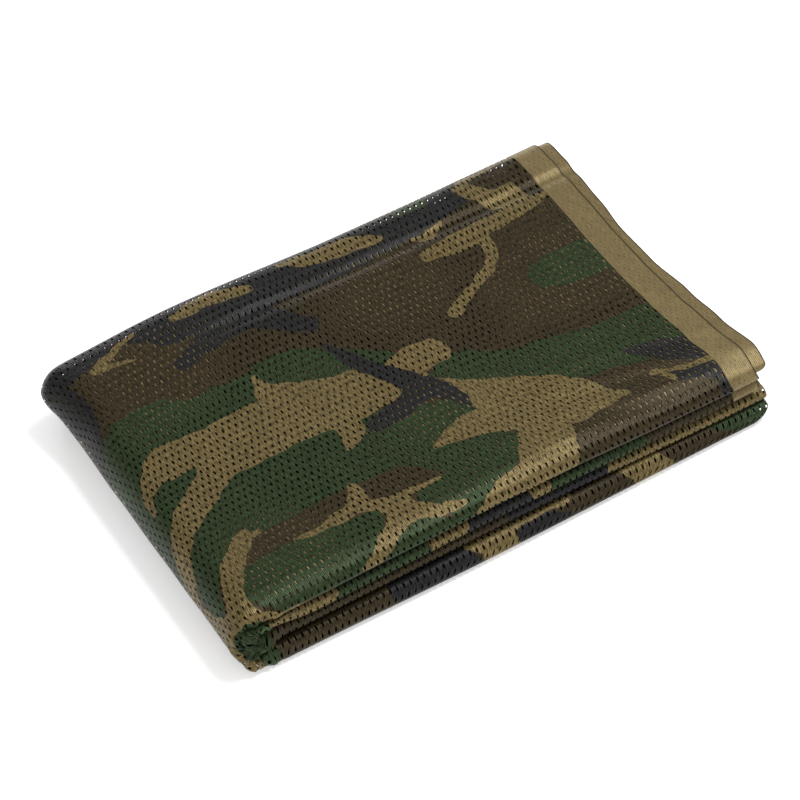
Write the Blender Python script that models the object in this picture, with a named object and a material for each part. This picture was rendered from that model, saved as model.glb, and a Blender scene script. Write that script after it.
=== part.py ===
"""Camouflage net: one length of printed mesh cloth, folded into a flat pack.

The cloth is a single piece with a selvedge along both long sides.  It is halved selvedge to
selvedge, laid back and forth along its length into a strip, and the strip is then folded
once over its left end.  Run it with blender --background --python part.py.

Axes: X runs along the pack, which is across the cloth, Y from front to back and Z up.
Origin: the middle of the pack's box, on the surface that it lies on.  Units are metres.
"""

import math
from collections import namedtuple

import bpy

# Driving dimensions
PACK_LENGTH = 0.3765          # left fold to the furthest selvedge
PACK_DEPTH = 0.243            # front rolls to the back face
CLOTH_THICKNESS = 0.0014
LAYER_PITCH = 0.00305         # middle of one layer to the middle of the next
PASSES = 4                    # back-and-forth passes of the doubled cloth in each half

# The fold over the left end
END_FOLD_BLUNTNESS = 0.72     # reach of the end fold, as a share of its own height
END_CORNER_RADIUS = 0.024     # rounding of the pack's two left corners, seen from above
END_CORNER_DRAW = 0.0095      # how far each left corner is drawn in

# The left end isn't straight: how far it stands in from the pack's leftmost point
LeftEdge = namedtuple("LeftEdge", "y set_in")
LEFT_EDGE = (
    LeftEdge(y=0.1215, set_in=0.0),
    LeftEdge(y=0.1020, set_in=0.0010),
    LeftEdge(y=0.0750, set_in=0.0046),
    LeftEdge(y=0.0350, set_in=0.0037),
    LeftEdge(y=-0.0200, set_in=0.0024),
    LeftEdge(y=-0.0600, set_in=0.0015),
    LeftEdge(y=-0.1215, set_in=0.0),
)
LEFT_EDGE_REACH = 0.070       # how far in from the left end that unevenness is felt
PUCKER = 0.0014               # gathers of the front left corner, where the rolls turn
PUCKER_LENGTH = 0.024
PUCKER_REACH = 0.034

# The rolls along the front and the turned-down end at the back
FRONT_ROLL_STRETCH = 1.25     # depth of a roll's nose, as a share of its own height
BACK_ROLL_STRETCH = 1.1
BACK_ROLL_SET_IN = 0.0125     # the back roll's centre, in front of the back face
FLAP_CORNER_RADIUS = 0.0075
FLAP_EDGE_HEIGHT = 0.0030     # the flap's cut edge, from the middle of the pack
FLAP_EDGE_WAVE = 0.0012
INNER_END_SET_IN = 0.022      # the cloth's other cut end, in front of the back face

# The soft top: rounding, hollows and the pressed crease near the back edge
FRONT_DROP = 0.0030
FRONT_DROP_REACH = 0.022
BACK_DROP = 0.0024
BACK_DROP_REACH = 0.016
SWELL = 0.0009
CREASE_TROUGH = 0.0014
CREASE_RIDGE = 0.0009
CREASE_WIDTH = 0.0050
CREASE_FROM_BACK = 0.0365
CREASE_FADE_START = -0.130    # the crease dies out between these two places along X
CREASE_FADE_END = -0.050
FRONT_SAG = 0.0040            # how far the thick top roll presses down the layers below it
FRONT_SAG_DEPTH = 0.060
FRONT_SAG_START = -0.040      # it grows from here towards the right end

# The underside is flat and bears on its four corners; its rim stands just clear between them
UNDERSIDE_CLEARANCE = 0.00001
RIM_CLEARANCE = 0.0004
RIM_START_X = 0.150
RIM_START_Y = 0.095
RIM_REACH = 0.012

# How far each roll's nose stands behind the foremost one, at three places along the pack
Roll = namedtuple("Roll", "left middle right")
ROLLS = {
    ("upper", "outer"): Roll(left=0.0080, middle=0.0080, right=0.0050),
    ("upper", "inner"): Roll(left=0.0078, middle=0.0074, right=0.0044),
    ("lower", "inner"): Roll(left=0.0090, middle=0.0068, right=0.0038),
    ("lower", "outer"): Roll(left=0.0050, middle=0.0035, right=0.0000),
}

# The right-hand edge of the top pass: where the two selvedges reach along X
Selvedge = namedtuple("Selvedge", "y top_layer second_layer inner_passes")
SELVEDGES = (
    Selvedge(y=0.1215, top_layer=0.1715, second_layer=0.1805, inner_passes=0.1775),
    Selvedge(y=0.0850, top_layer=0.1712, second_layer=0.1798, inner_passes=0.1770),
    Selvedge(y=0.0550, top_layer=0.1702, second_layer=0.1780, inner_passes=0.1755),
    Selvedge(y=0.0260, top_layer=0.1690, second_layer=0.1753, inner_passes=0.1730),
    Selvedge(y=-0.0040, top_layer=0.1690, second_layer=0.1760, inner_passes=0.1725),
    Selvedge(y=-0.0370, top_layer=0.1706, second_layer=0.1800, inner_passes=0.1760),
    Selvedge(y=-0.0680, top_layer=0.1735, second_layer=0.1830, inner_passes=0.1780),
    Selvedge(y=-0.0950, top_layer=0.1775, second_layer=0.1876, inner_passes=0.1795),
    Selvedge(y=-0.1215, top_layer=0.1755, second_layer=0.1850, inner_passes=0.1800),
)
OUTER_FOLD_REACH = 0.1660        # the lower half's folded ends, outermost pass
INNER_FOLD_REACH = 0.1855        # and the passes inside it

# Facets along each stretch
STEPS_PANEL = 8
STEPS_END_FOLD = 8
STEPS_HALVING_FOLD = 4
STEPS_PASS = 4
STEPS_ROLL = 6
STEPS_FLAP = 2
STEPS_FLAP_CORNER = 3
# Rows of the first pass, as shares of it from back to front, close together at the crease
FIRST_PASS_ROWS = (
    0.0, 0.045, 0.086, 0.104, 0.1225, 0.141, 0.163, 0.25, 0.37, 0.5, 0.62, 0.74, 0.84, 0.92,
)

MESH_COLOUR = (0.055, 0.058, 0.032, 1.0)
MESH_ROUGHNESS = 0.85

PASS_PITCH = 2.0 * LAYER_PITCH
HALF_LAYER = 0.5 * LAYER_PITCH
HALF_DEPTH = 0.5 * PACK_DEPTH
HALF_HEIGHT = (2 * PASSES - 0.5) * LAYER_PITCH + 0.5 * CLOTH_THICKNESS
LEFT_END = -0.5 * PACK_LENGTH
END_FOLD_X = LEFT_END + END_FOLD_BLUNTNESS * HALF_HEIGHT

# A place across the cloth: how far along the half (0 at the end fold, 1 at the right), the
# angle round the end fold, the offset from the doubled cloth's middle, and the reach of the
# halving fold beyond the right-hand end
Across = namedtuple("Across", "along angle offset nose")
# A place along the cloth: which stretch of the section it is on, and how far along it
Along = namedtuple("Along", "stretch share")


def smooth(share):
    """Ease a share from 0 to 1 with level ends."""
    held = min(max(share, 0.0), 1.0)
    return held * held * (3.0 - 2.0 * held)


def mix(start, end, share):
    """Go from start to end by a share."""
    return start + (end - start) * share


def steps(count):
    """Shares from 0 to just under 1 in equal steps."""
    return [index / count for index in range(count)]


def pass_height(number):
    """Height of a pass's middle above the pack's middle; pass 0 is the innermost."""
    return (number + 0.5) * PASS_PITCH


def along_table(rows, y, values):
    """Interpolate a table whose rows run from back to front; values reads a row's numbers."""
    for behind, front in zip(rows, rows[1:]):
        if y >= front.y:
            share = smooth((behind.y - y) / (behind.y - front.y))
            return [mix(a, b, share) for a, b in zip(values(behind), values(front))]
    return values(rows[-1])


def selvedge_reach(y, second, inner):
    """Where a selvedge ends along X; second is 1 on the layer below, inner on inner passes."""
    top, below, inside = along_table(SELVEDGES, y, lambda row: row[1:])
    return mix(mix(top, below, second), inside, inner)


def left_set_in(x, y):
    """How far a place near the uneven left end is drawn in along X."""
    (set_in,) = along_table(LEFT_EDGE, y, lambda row: (row.set_in,))
    return set_in * smooth(1.0 - (x - LEFT_END) / LEFT_EDGE_REACH)


def roll_nose(layer, along, side):
    """Foremost y of a roll at a place along the half, on the upper (1) or lower (-1) side."""
    noses = []
    for half in ("lower", "upper"):
        roll = ROLLS[(half, layer)]
        if along < 0.5:
            noses.append(mix(roll.left, roll.middle, smooth(2.0 * along)))
        else:
            noses.append(mix(roll.middle, roll.right, smooth(2.0 * along - 1.0)))
    return -HALF_DEPTH + mix(noses[0], noses[1], 0.5 * (1.0 + side))


def roll_centre(layer, along, side):
    """The y that a front roll turns about."""
    return roll_nose(layer, along, side) + FRONT_ROLL_STRETCH * (
        0.5 * PASS_PITCH + HALF_LAYER + 0.5 * CLOTH_THICKNESS
    )


def arc(centre_y, centre_h, radius, stretch, angle):
    """A point on a roll's arc in the section; angle 0 points to the back, 90 outwards."""
    turn = math.radians(angle)
    return centre_y + stretch * radius * math.cos(turn), centre_h + radius * math.sin(turn)


def section_point(place, offset, along, side):
    """The section's y, and its height from the pack's middle, at a place along the cloth."""
    first, second, third, last = (pass_height(number) for number in (3, 2, 1, 0))
    outer_y = roll_centre("outer", along, side)
    inner_y = roll_centre("inner", along, side)
    flap_y = HALF_DEPTH - HALF_LAYER - 0.5 * CLOTH_THICKNESS
    flap_turn_y = flap_y - FLAP_CORNER_RADIUS
    flap_turn_h = first - FLAP_CORNER_RADIUS
    back_y = HALF_DEPTH - BACK_ROLL_SET_IN
    half_pitch = 0.5 * PASS_PITCH
    share = place.share
    if place.stretch == "flap":
        edge = FLAP_EDGE_HEIGHT + FLAP_EDGE_WAVE * math.sin(7.0 * along + side)
        return flap_y + offset, mix(edge, flap_turn_h, share)
    if place.stretch == "flap corner":
        return arc(flap_turn_y, flap_turn_h, FLAP_CORNER_RADIUS + offset, 1.0, 90.0 * share)
    if place.stretch == "first pass":
        return mix(flap_turn_y, outer_y, share), first + offset
    if place.stretch == "outer roll":
        middle = 0.5 * (first + second)
        angle = 90.0 + 180.0 * share
        return arc(outer_y, middle, half_pitch + offset, FRONT_ROLL_STRETCH, angle)
    if place.stretch == "second pass":
        return mix(outer_y, back_y, share), second - offset
    if place.stretch == "back roll":
        middle = 0.5 * (second + third)
        angle = 90.0 - 180.0 * share
        return arc(back_y, middle, half_pitch - offset, BACK_ROLL_STRETCH, angle)
    if place.stretch == "third pass":
        return mix(back_y, inner_y, share), third + offset
    if place.stretch == "inner roll":
        middle = 0.5 * (third + last)
        angle = 90.0 + 180.0 * share
        return arc(inner_y, middle, half_pitch + offset, FRONT_ROLL_STRETCH, angle)
    return mix(inner_y, HALF_DEPTH - INNER_END_SET_IN, share), last - offset


def inwardness(place):
    """0 on the outermost pass of a half and its flap, 1 on the passes inside it."""
    if place.stretch in ("flap", "flap corner", "first pass"):
        return 0.0
    if place.stretch == "outer roll":
        return smooth(place.share)
    return 1.0


def panel_reach(place, offset, side, y):
    """Where a panel's right-hand edge ends along X."""
    inner = inwardness(place)
    if side < 0.0:
        return mix(OUTER_FOLD_REACH, INNER_FOLD_REACH, inner)
    second = 0.5 * (1.0 - offset / HALF_LAYER)
    return selvedge_reach(y, second, inner)


def draw_in(x):
    """How far the pack's front and back are drawn in near its left end."""
    start = LEFT_END + END_CORNER_RADIUS
    if x >= start:
        return 0.0
    share = min((start - x) / END_CORNER_RADIUS, 1.0)
    return END_CORNER_DRAW * (1.0 - math.sqrt(1.0 - share * share))


def crease(x, y):
    """Height of the pressed crease: a trough with a ridge behind it."""
    from_crease = (y - (HALF_DEPTH - CREASE_FROM_BACK)) / CREASE_WIDTH
    fade = smooth((x - CREASE_FADE_START) / (CREASE_FADE_END - CREASE_FADE_START))
    trough = CREASE_TROUGH * math.exp(-(from_crease ** 2))
    ridge = CREASE_RIDGE * math.exp(-((from_crease - 1.6) ** 2))
    return fade * (ridge - trough)


def top_change(x, y):
    """How far the top of the pack stands off its level height."""
    front = smooth((-HALF_DEPTH + FRONT_DROP_REACH - y) / FRONT_DROP_REACH)
    back = smooth((y - HALF_DEPTH + BACK_DROP_REACH) / BACK_DROP_REACH)
    swell = SWELL * math.sin(14.0 * x + 0.6) * math.cos(17.0 * y - 0.5)
    return swell + crease(x, y) - FRONT_DROP * front - BACK_DROP * back


def pucker(x, y, z):
    """The gathers that the turned rolls press into the front left corner."""
    from_corner = math.hypot(x - LEFT_END, y + HALF_DEPTH)
    strength = smooth(1.0 - from_corner / PUCKER_REACH)
    return PUCKER * strength * math.sin(2.0 * math.pi * (z - 0.6 * y) / PUCKER_LENGTH)


def front_sag(x, y):
    """How far the layers at half height sink under the thick right end of the top roll."""
    near_front = smooth(1.0 - (y + HALF_DEPTH) / FRONT_SAG_DEPTH)
    near_right = smooth((x - FRONT_SAG_START) / (0.5 * PACK_LENGTH - FRONT_SAG_START))
    return FRONT_SAG * near_front * near_right


def underside_lift(x, y):
    """How far the underside stands off the surface between its four bearing corners."""
    near_end = smooth((abs(x) - RIM_START_X) / RIM_REACH)
    near_side = smooth((abs(y) - RIM_START_Y) / RIM_REACH)
    rim = max(near_end, near_side)
    return (UNDERSIDE_CLEARANCE + RIM_CLEARANCE * rim) * (1.0 - near_end * near_side)


def settle(x, y, z):
    """Turn the straight, level pack into the soft one; the underside stays flat."""
    soft_y = y * (1.0 - draw_in(x) / HALF_DEPTH)
    soft_x = x + left_set_in(x, soft_y) + pucker(x, soft_y, z)
    level = (z - 0.5 * CLOTH_THICKNESS) / (2.0 * HALF_HEIGHT - CLOTH_THICKNESS)
    rise = top_change(x, soft_y) * level ** 2 + underside_lift(x, soft_y) * (1.0 - level) ** 2
    return soft_x, soft_y, z + rise - front_sag(x, soft_y) * math.sin(math.pi * level)


def net_point(across, place):
    """The middle of the cloth at a place across and along it."""
    turn = math.radians(across.angle)
    side = math.sin(turn)
    y, height = section_point(place, across.offset, across.along, side)
    reach = panel_reach(place, across.offset, side, y)
    panel = across.along * (reach - END_FOLD_X) + across.nose
    x = END_FOLD_X + panel - END_FOLD_BLUNTNESS * height * math.cos(turn)
    return settle(x, y, HALF_HEIGHT + height * side)


def across_places():
    """Places across the cloth, from the top layer's selvedge to the second layer's."""
    outer, inner = HALF_LAYER, -HALF_LAYER
    places = [Across(1.0 - share, 90.0, outer, 0.0) for share in steps(STEPS_PANEL)]
    places += [Across(0.0, 90.0 - 180.0 * share, outer, 0.0) for share in steps(STEPS_END_FOLD)]
    places += [Across(share, -90.0, outer, 0.0) for share in steps(STEPS_PANEL)]
    for share in steps(STEPS_HALVING_FOLD):
        turn = math.radians(90.0 - 180.0 * share)
        offset = HALF_LAYER * math.sin(turn)
        places.append(Across(1.0, -90.0, offset, HALF_LAYER * math.cos(turn)))
    places += [Across(1.0 - share, -90.0, inner, 0.0) for share in steps(STEPS_PANEL)]
    places += [Across(0.0, -90.0 + 180.0 * share, inner, 0.0) for share in steps(STEPS_END_FOLD)]
    places += [Across(share, 90.0, inner, 0.0) for share in steps(STEPS_PANEL)]
    places.append(Across(1.0, 90.0, inner, 0.0))
    return places


def along_places():
    """Places along the cloth, from the flap's cut edge to the inner cut end."""
    stretches = (
        ("flap", steps(STEPS_FLAP)),
        ("flap corner", steps(STEPS_FLAP_CORNER)),
        ("first pass", FIRST_PASS_ROWS),
        ("outer roll", steps(STEPS_ROLL)),
        ("second pass", steps(STEPS_PASS)),
        ("back roll", steps(STEPS_ROLL)),
        ("third pass", steps(STEPS_PASS)),
        ("inner roll", steps(STEPS_ROLL)),
        ("last pass", steps(STEPS_PASS)),
    )
    places = [Along(stretch, share) for stretch, shares in stretches for share in shares]
    places.append(Along("last pass", 1.0))
    return places


def clear_scene():
    """Remove whatever the scene holds."""
    for item in list(bpy.data.objects):
        bpy.data.objects.remove(item, do_unlink=True)


def mesh_material():
    """The printed mesh cloth's plain stand-in colour."""
    material = bpy.data.materials.new("printed_mesh")
    material.use_nodes = True
    shader = material.node_tree.nodes["Principled BSDF"]
    shader.inputs["Base Color"].default_value = MESH_COLOUR
    shader.inputs["Roughness"].default_value = MESH_ROUGHNESS
    shader.inputs["Metallic"].default_value = 0.0
    return material


def centred(points):
    """Move the points so that the pack's box is centred on the origin and stands on z = 0."""
    xs = [point[0] for point in points]
    ys = [point[1] for point in points]
    zs = [point[2] for point in points]
    shift_x = 0.5 * (min(xs) + max(xs))
    shift_y = 0.5 * (min(ys) + max(ys))
    shift_z = min(zs) - 0.5 * CLOTH_THICKNESS
    return [(x - shift_x, y - shift_y, z - shift_z) for x, y, z in points]


def build_net():
    """The whole net: one folded sheet, thickened to both sides of its middle."""
    across = across_places()
    along = along_places()
    points = centred([net_point(column, row) for column in across for row in along])
    rows = len(along)
    faces = []
    for column in range(len(across) - 1):
        for row in range(rows - 1):
            corner = column * rows + row
            faces.append((corner, corner + 1, corner + rows + 1, corner + rows))
    mesh = bpy.data.meshes.new("net")
    mesh.from_pydata(points, [], faces)
    mesh.update()
    net = bpy.data.objects.new("net", mesh)
    bpy.context.scene.collection.objects.link(net)
    net.data.materials.append(mesh_material())
    thickness = net.modifiers.new("Cloth thickness", "SOLIDIFY")
    thickness.thickness = CLOTH_THICKNESS
    thickness.offset = 0.0
    thickness.use_even_offset = True
    return net


clear_scene()
build_net()
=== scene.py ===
"""Camouflage net: the looks of a folded length of printed mesh cloth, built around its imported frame.

The cloth is one length of knitted mesh with a selvedge along both long sides.  It is halved
selvedge to selvedge, laid back and forth into a strip, and the strip is folded over its left
end.  Every piece here is a rectangle of that one flat cloth, carried through the same folds.

Axes are the frame's: X runs along the pack, Y from front to back and Z up, in metres.
"""

import logging
import math
from collections.abc import Callable
from dataclasses import dataclass, replace
from enum import Enum
from functools import partial
from typing import NamedTuple

import bpy
import numpy as np
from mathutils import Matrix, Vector


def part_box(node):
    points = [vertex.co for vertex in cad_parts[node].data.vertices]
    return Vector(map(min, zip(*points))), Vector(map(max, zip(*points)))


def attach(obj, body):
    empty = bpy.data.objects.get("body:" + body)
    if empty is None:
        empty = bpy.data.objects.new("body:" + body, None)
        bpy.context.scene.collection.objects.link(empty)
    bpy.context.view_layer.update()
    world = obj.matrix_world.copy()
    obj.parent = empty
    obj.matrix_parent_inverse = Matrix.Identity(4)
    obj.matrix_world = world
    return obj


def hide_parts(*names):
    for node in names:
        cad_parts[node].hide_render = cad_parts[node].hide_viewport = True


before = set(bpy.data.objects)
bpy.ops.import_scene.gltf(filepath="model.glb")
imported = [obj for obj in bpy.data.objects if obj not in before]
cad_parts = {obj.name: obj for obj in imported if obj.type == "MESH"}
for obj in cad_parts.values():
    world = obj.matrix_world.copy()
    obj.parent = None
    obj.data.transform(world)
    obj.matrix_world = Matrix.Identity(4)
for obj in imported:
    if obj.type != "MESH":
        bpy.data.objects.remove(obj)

BODY = "root"
NODE = "net"
UV_MAP = "OFBake"
MM = 0.001
WAVE_LENGTH = 0.31416  # of the wave texture's bands at a scale of 1

Socket = bpy.types.NodeSocket

log = logging.getLogger("camouflage_net")


def smooth(share: np.ndarray) -> np.ndarray:
    """Ease shares from 0 to 1 with level ends."""
    held = np.clip(share, 0.0, 1.0)
    return held * held * (3.0 - 2.0 * held)


def mix(start: np.ndarray | float, end: np.ndarray | float, share: np.ndarray | float) -> np.ndarray:
    """Go from start to end by a share."""
    return start + (end - start) * share


def eased_table(at: np.ndarray, rows: tuple, column: int) -> np.ndarray:
    """Read one column of a table at some places, easing from each row to the next.

    Args:
        at: Where to read the table.
        rows: The rows in rising order, each with its place first.
        column: Which of their values to read.

    Returns:
        One value for each place in at.
    """
    steps = np.array([row[0] for row in rows])
    levels = np.array([row[column] for row in rows])
    row = np.clip(np.searchsorted(steps, at, side="right") - 1, 0, len(steps) - 2)
    share = (at - steps[row]) / (steps[row + 1] - steps[row])
    return mix(levels[row], levels[row + 1], smooth(share))


def round_roll(y: np.ndarray | float, height: float, radius: np.ndarray, half_turns: np.ndarray,
               stretch: float) -> tuple:
    """Places round a roll of the cloth.

    Args:
        y: The y that the roll turns about.
        height: The height that it turns about.
        radius: How far from there each place lies.
        half_turns: How far round each place is, anticlockwise from the back.
        stretch: The roll's depth as a share of its height.

    Returns:
        The places' y and height.
    """
    turn = math.pi * half_turns
    return y + stretch * radius * np.cos(turn), height + radius * np.sin(turn)


class Ink(Enum):
    """The print's colours; brown is the ground that the others lie on."""

    BROWN = "brown"
    GREEN = "green"
    SAND = "sand"
    BLACK = "black"


class Knit(Enum):
    """How many sides the holes of a rectangle of the cloth are made with."""

    OPEN = 12
    LIGHT = 8
    CLOSED = 0


class Ramp(NamedTuple):
    """An eased rise from 0 to 1: its start, and its reach, which is negative where it falls."""

    start: float
    reach: float

    def at(self, place: np.ndarray) -> np.ndarray:
        """How far up the ramp each place lies."""
        return smooth((place - self.start) / self.reach)


class Hill(NamedTuple):
    """A rounded hill, 1 high: its middle and its width."""

    middle: float
    width: float

    def at(self, place: np.ndarray) -> np.ndarray:
        """How high the hill is at each place."""
        return np.exp(-(((place - self.middle) / self.width) ** 2))


class Wave(NamedTuple):
    """A wave over two coordinates: its turn in radians with each of them, and at their zero."""

    first: float
    second: float
    start: float = 0.0

    def at(self, first: np.ndarray, second: np.ndarray) -> np.ndarray:
        """How high the wave is at each place, from -1 to 1."""
        return np.sin(self.first * first + self.second * second + self.start)


class Stretch(NamedTuple):
    """One stretch of the cloth, by its name and its flat length in metres."""

    name: str
    length: float


class SelvedgeRow(NamedTuple):
    """Where the right-hand edges reach along X, at one place along Y, in metres."""

    y: float
    top_layer: float
    second_layer: float
    inner_passes: float


class LeftRow(NamedTuple):
    """How far the left end stands in from the leftmost point, at one place along Y."""

    y: float
    set_in: float


class RollRow(NamedTuple):
    """How far a roll's nose stands behind the foremost one, at three places along X."""

    left: float
    middle: float
    right: float


@dataclass(frozen=True)
class FoldedPack:
    """The folds of the pack: it carries a place on the flat cloth to its place in the pack."""

    length: float = 0.3765
    depth: float = 0.243
    thickness: float = 0.0014
    layer_pitch: float = 0.00305
    passes: int = 4
    end_bluntness: float = 0.72
    corner_radius: float = 0.024
    corner_draw: float = 0.0095
    left_edge: tuple = (
        LeftRow(y=-0.1215, set_in=0.0),
        LeftRow(y=-0.0600, set_in=0.0015),
        LeftRow(y=-0.0200, set_in=0.0024),
        LeftRow(y=0.0350, set_in=0.0037),
        LeftRow(y=0.0750, set_in=0.0050),
        LeftRow(y=0.0980, set_in=0.0046),
        LeftRow(y=0.1215, set_in=0.0020),
    )
    left_edge_reach: float = 0.070
    lean_start: float = 0.066
    lean_reach: float = 0.040
    lean_low: float = -0.0018
    lean_high: float = 0.0056
    lean_heights: Ramp = Ramp(0.25, 0.45)
    front_stretch: float = 1.25
    back_stretch: float = 1.1
    back_set_in: float = 0.0125
    front_set_in: float = 0.0145
    flap_corner: float = 0.0075
    flap_edge_height: float = 0.0030
    flap_edge_wave: float = 0.0012
    flap_edge_turns: float = 7.0
    inner_end_set_in: float = 0.022
    selvedges: tuple = (
        SelvedgeRow(y=-0.1215, top_layer=0.1755, second_layer=0.1850, inner_passes=0.1800),
        SelvedgeRow(y=-0.0950, top_layer=0.1775, second_layer=0.1876, inner_passes=0.1795),
        SelvedgeRow(y=-0.0680, top_layer=0.1735, second_layer=0.1830, inner_passes=0.1780),
        SelvedgeRow(y=-0.0370, top_layer=0.1706, second_layer=0.1800, inner_passes=0.1760),
        SelvedgeRow(y=-0.0040, top_layer=0.1690, second_layer=0.1760, inner_passes=0.1725),
        SelvedgeRow(y=0.0260, top_layer=0.1690, second_layer=0.1753, inner_passes=0.1730),
        SelvedgeRow(y=0.0550, top_layer=0.1702, second_layer=0.1780, inner_passes=0.1755),
        SelvedgeRow(y=0.0850, top_layer=0.1712, second_layer=0.1798, inner_passes=0.1770),
        SelvedgeRow(y=0.1215, top_layer=0.1715, second_layer=0.1805, inner_passes=0.1775),
    )
    outer_fold_reach: float = 0.1660
    inner_fold_reach: float = 0.1855
    upper_outer_roll: RollRow = RollRow(left=0.0110, middle=0.0111, right=0.0077)
    upper_inner_roll: RollRow = RollRow(left=0.0101, middle=0.0102, right=0.0090)
    lower_inner_roll: RollRow = RollRow(left=0.0118, middle=0.0112, right=0.0084)
    lower_outer_roll: RollRow = RollRow(left=0.0050, middle=0.0020, right=0.0019)
    panel_length: float = 0.3450
    second_reach: float = 0.0088
    end_fold_length: float = 0.0620
    front_sag: float = 0.0032
    front_sag_depth: float = 0.060
    front_sag_start: float = -0.040
    rim_clearance: float = 0.0004
    rim_ends: Ramp = Ramp(0.150, 0.012)
    rim_sides: Ramp = Ramp(0.095, 0.012)
    # The layer below the top one lies close up under it, but for a gap that opens at the selvedges
    nestle_start: float = 0.3
    nestle_overrun: float = 0.010
    nestle_gap: float = 0.00045
    selvedge_gap: float = 0.0019
    gap_opens: Ramp = Ramp(0.92, 0.08)
    # At each end of the stretches across the cloth: how far along the half it lies, its angle
    # round the end fold and its turn in the halving fold, both in half turns
    along_at: tuple = (1.0, 0.0, 0.0, 1.0, 1.0, 0.0, 0.0, 1.0)
    angle_at: tuple = (0.5, 0.5, -0.5, -0.5, -0.5, -0.5, 0.5, 0.5)
    halving_at: tuple = (0.5, 0.5, 0.5, 0.5, -0.5, -0.5, -0.5, -0.5)
    # How many places across and along the cloth its own box is measured at, to centre it
    measured_at: tuple = (600, 800)
    shift: tuple = (0.0, 0.0, 0.0)

    @property
    def pass_pitch(self) -> float:
        """Height from one pass of the doubled cloth to the next."""
        return 2.0 * self.layer_pitch

    @property
    def half_layer(self) -> float:
        """Height of each layer of the doubled cloth above or below its middle."""
        return 0.5 * self.layer_pitch

    @property
    def half_depth(self) -> float:
        """Half of the pack's depth."""
        return 0.5 * self.depth

    @property
    def half_height(self) -> float:
        """Height of the pack's middle above its underside."""
        return (2 * self.passes - 0.5) * self.layer_pitch + 0.5 * self.thickness

    @property
    def left_end(self) -> float:
        """The leftmost x, before the pack is centred on its box."""
        return -0.5 * self.length

    @property
    def fold_x(self) -> float:
        """The x where the panels turn into the end fold."""
        return self.left_end + self.end_bluntness * self.half_height

    @property
    def front_y(self) -> float:
        """About where the passes turn into the front rolls."""
        return self.front_set_in - self.half_depth

    @property
    def front_roll_length(self) -> float:
        """Flat length of the cloth round a front roll."""
        radius = 0.5 * self.pass_pitch + self.half_layer
        return math.pi * radius * 0.5 * (1.0 + self.front_stretch)

    @property
    def across(self) -> tuple:
        """The stretches from the top layer's selvedge to the second layer's.

        Returns:
            The stretches in order.
        """
        return (
            Stretch("upper outer panel", self.panel_length),
            Stretch("outer end fold", self.end_fold_length),
            Stretch("lower outer panel", self.panel_length),
            Stretch("halving fold", math.pi * self.half_layer),
            Stretch("lower inner panel", self.panel_length),
            Stretch("inner end fold", self.end_fold_length),
            Stretch("upper inner panel", self.panel_length + self.second_reach),
        )

    @property
    def along(self) -> tuple:
        """The stretches from the flap's cut edge to the inner cut end.

        Returns:
            The stretches in order.
        """
        front, back = self.front_y, self.half_depth - self.back_set_in
        rise = self.pass_height(3) - self.flap_corner - self.flap_edge_height
        return (
            Stretch("flap", rise),
            Stretch("flap corner", 0.5 * math.pi * (self.flap_corner + self.half_layer)),
            Stretch("first pass", self.half_depth - self.half_layer - self.flap_corner - front),
            Stretch("outer roll", self.front_roll_length),
            Stretch("second pass", back - front),
            Stretch("back roll", 0.5 * math.pi * self.pass_pitch),
            Stretch("third pass", back - front),
            Stretch("inner roll", self.front_roll_length),
            Stretch("last pass", self.half_depth - self.inner_end_set_in - front),
        )

    def pass_height(self, number: int) -> float:
        """Height of a pass's middle above the pack's middle; pass 0 is the innermost."""
        return (number + 0.5) * self.pass_pitch

    def start_of(self, name: str) -> float:
        """Flat distance from the cloth's first edge to where a stretch starts.

        Args:
            name: The stretch's name.

        Returns:
            The distance across the cloth, or along it.
        """
        for stretches in (self.across, self.along):
            names = [stretch.name for stretch in stretches]
            if name in names:
                return sum(stretch.length for stretch in stretches[: names.index(name)])
        raise ValueError(f"the cloth has no stretch named {name}")

    def end_of(self, name: str) -> float:
        """Flat distance from the cloth's first edge to where a stretch ends."""
        lengths = {stretch.name: stretch.length for stretch in self.across + self.along}
        return self.start_of(name) + lengths[name]

    def across_place(self, u: np.ndarray) -> tuple:
        """Turn flat distances across the cloth into places across the pack.

        Args:
            u: Distances from the top layer's selvedge.

        Returns:
            How far along the half each place is, its angle round the end fold in radians,
            its offset from the doubled cloth's middle, and its reach past the right end.
        """
        stops = np.cumsum([0.0] + [stretch.length for stretch in self.across])
        turn = math.pi * np.interp(u, stops, self.halving_at)
        return (
            np.interp(u, stops, self.along_at),
            math.pi * np.interp(u, stops, self.angle_at),
            self.half_layer * np.sin(turn),
            self.half_layer * np.cos(turn),
        )

    def roll_centre(self, upper: RollRow, lower: RollRow, along: np.ndarray,
                    side: np.ndarray) -> np.ndarray:
        """The y that a front roll turns about.

        Args:
            upper: The roll's set-backs on the upper side.
            lower: The roll's set-backs on the lower side.
            along: Places along the half, 0 at the end fold.
            side: 1 on the upper side, -1 on the lower.

        Returns:
            One y for each place.
        """
        below, above = (
            mix(mix(roll.left, roll.middle, smooth(2.0 * along)), roll.right, smooth(2.0 * along - 1.0))
            for roll in (lower, upper)
        )
        nose = -self.half_depth + mix(below, above, 0.5 * (1.0 + side))
        return nose + self.front_stretch * (0.5 * self.pass_pitch + self.half_layer + 0.5 * self.thickness)

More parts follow.
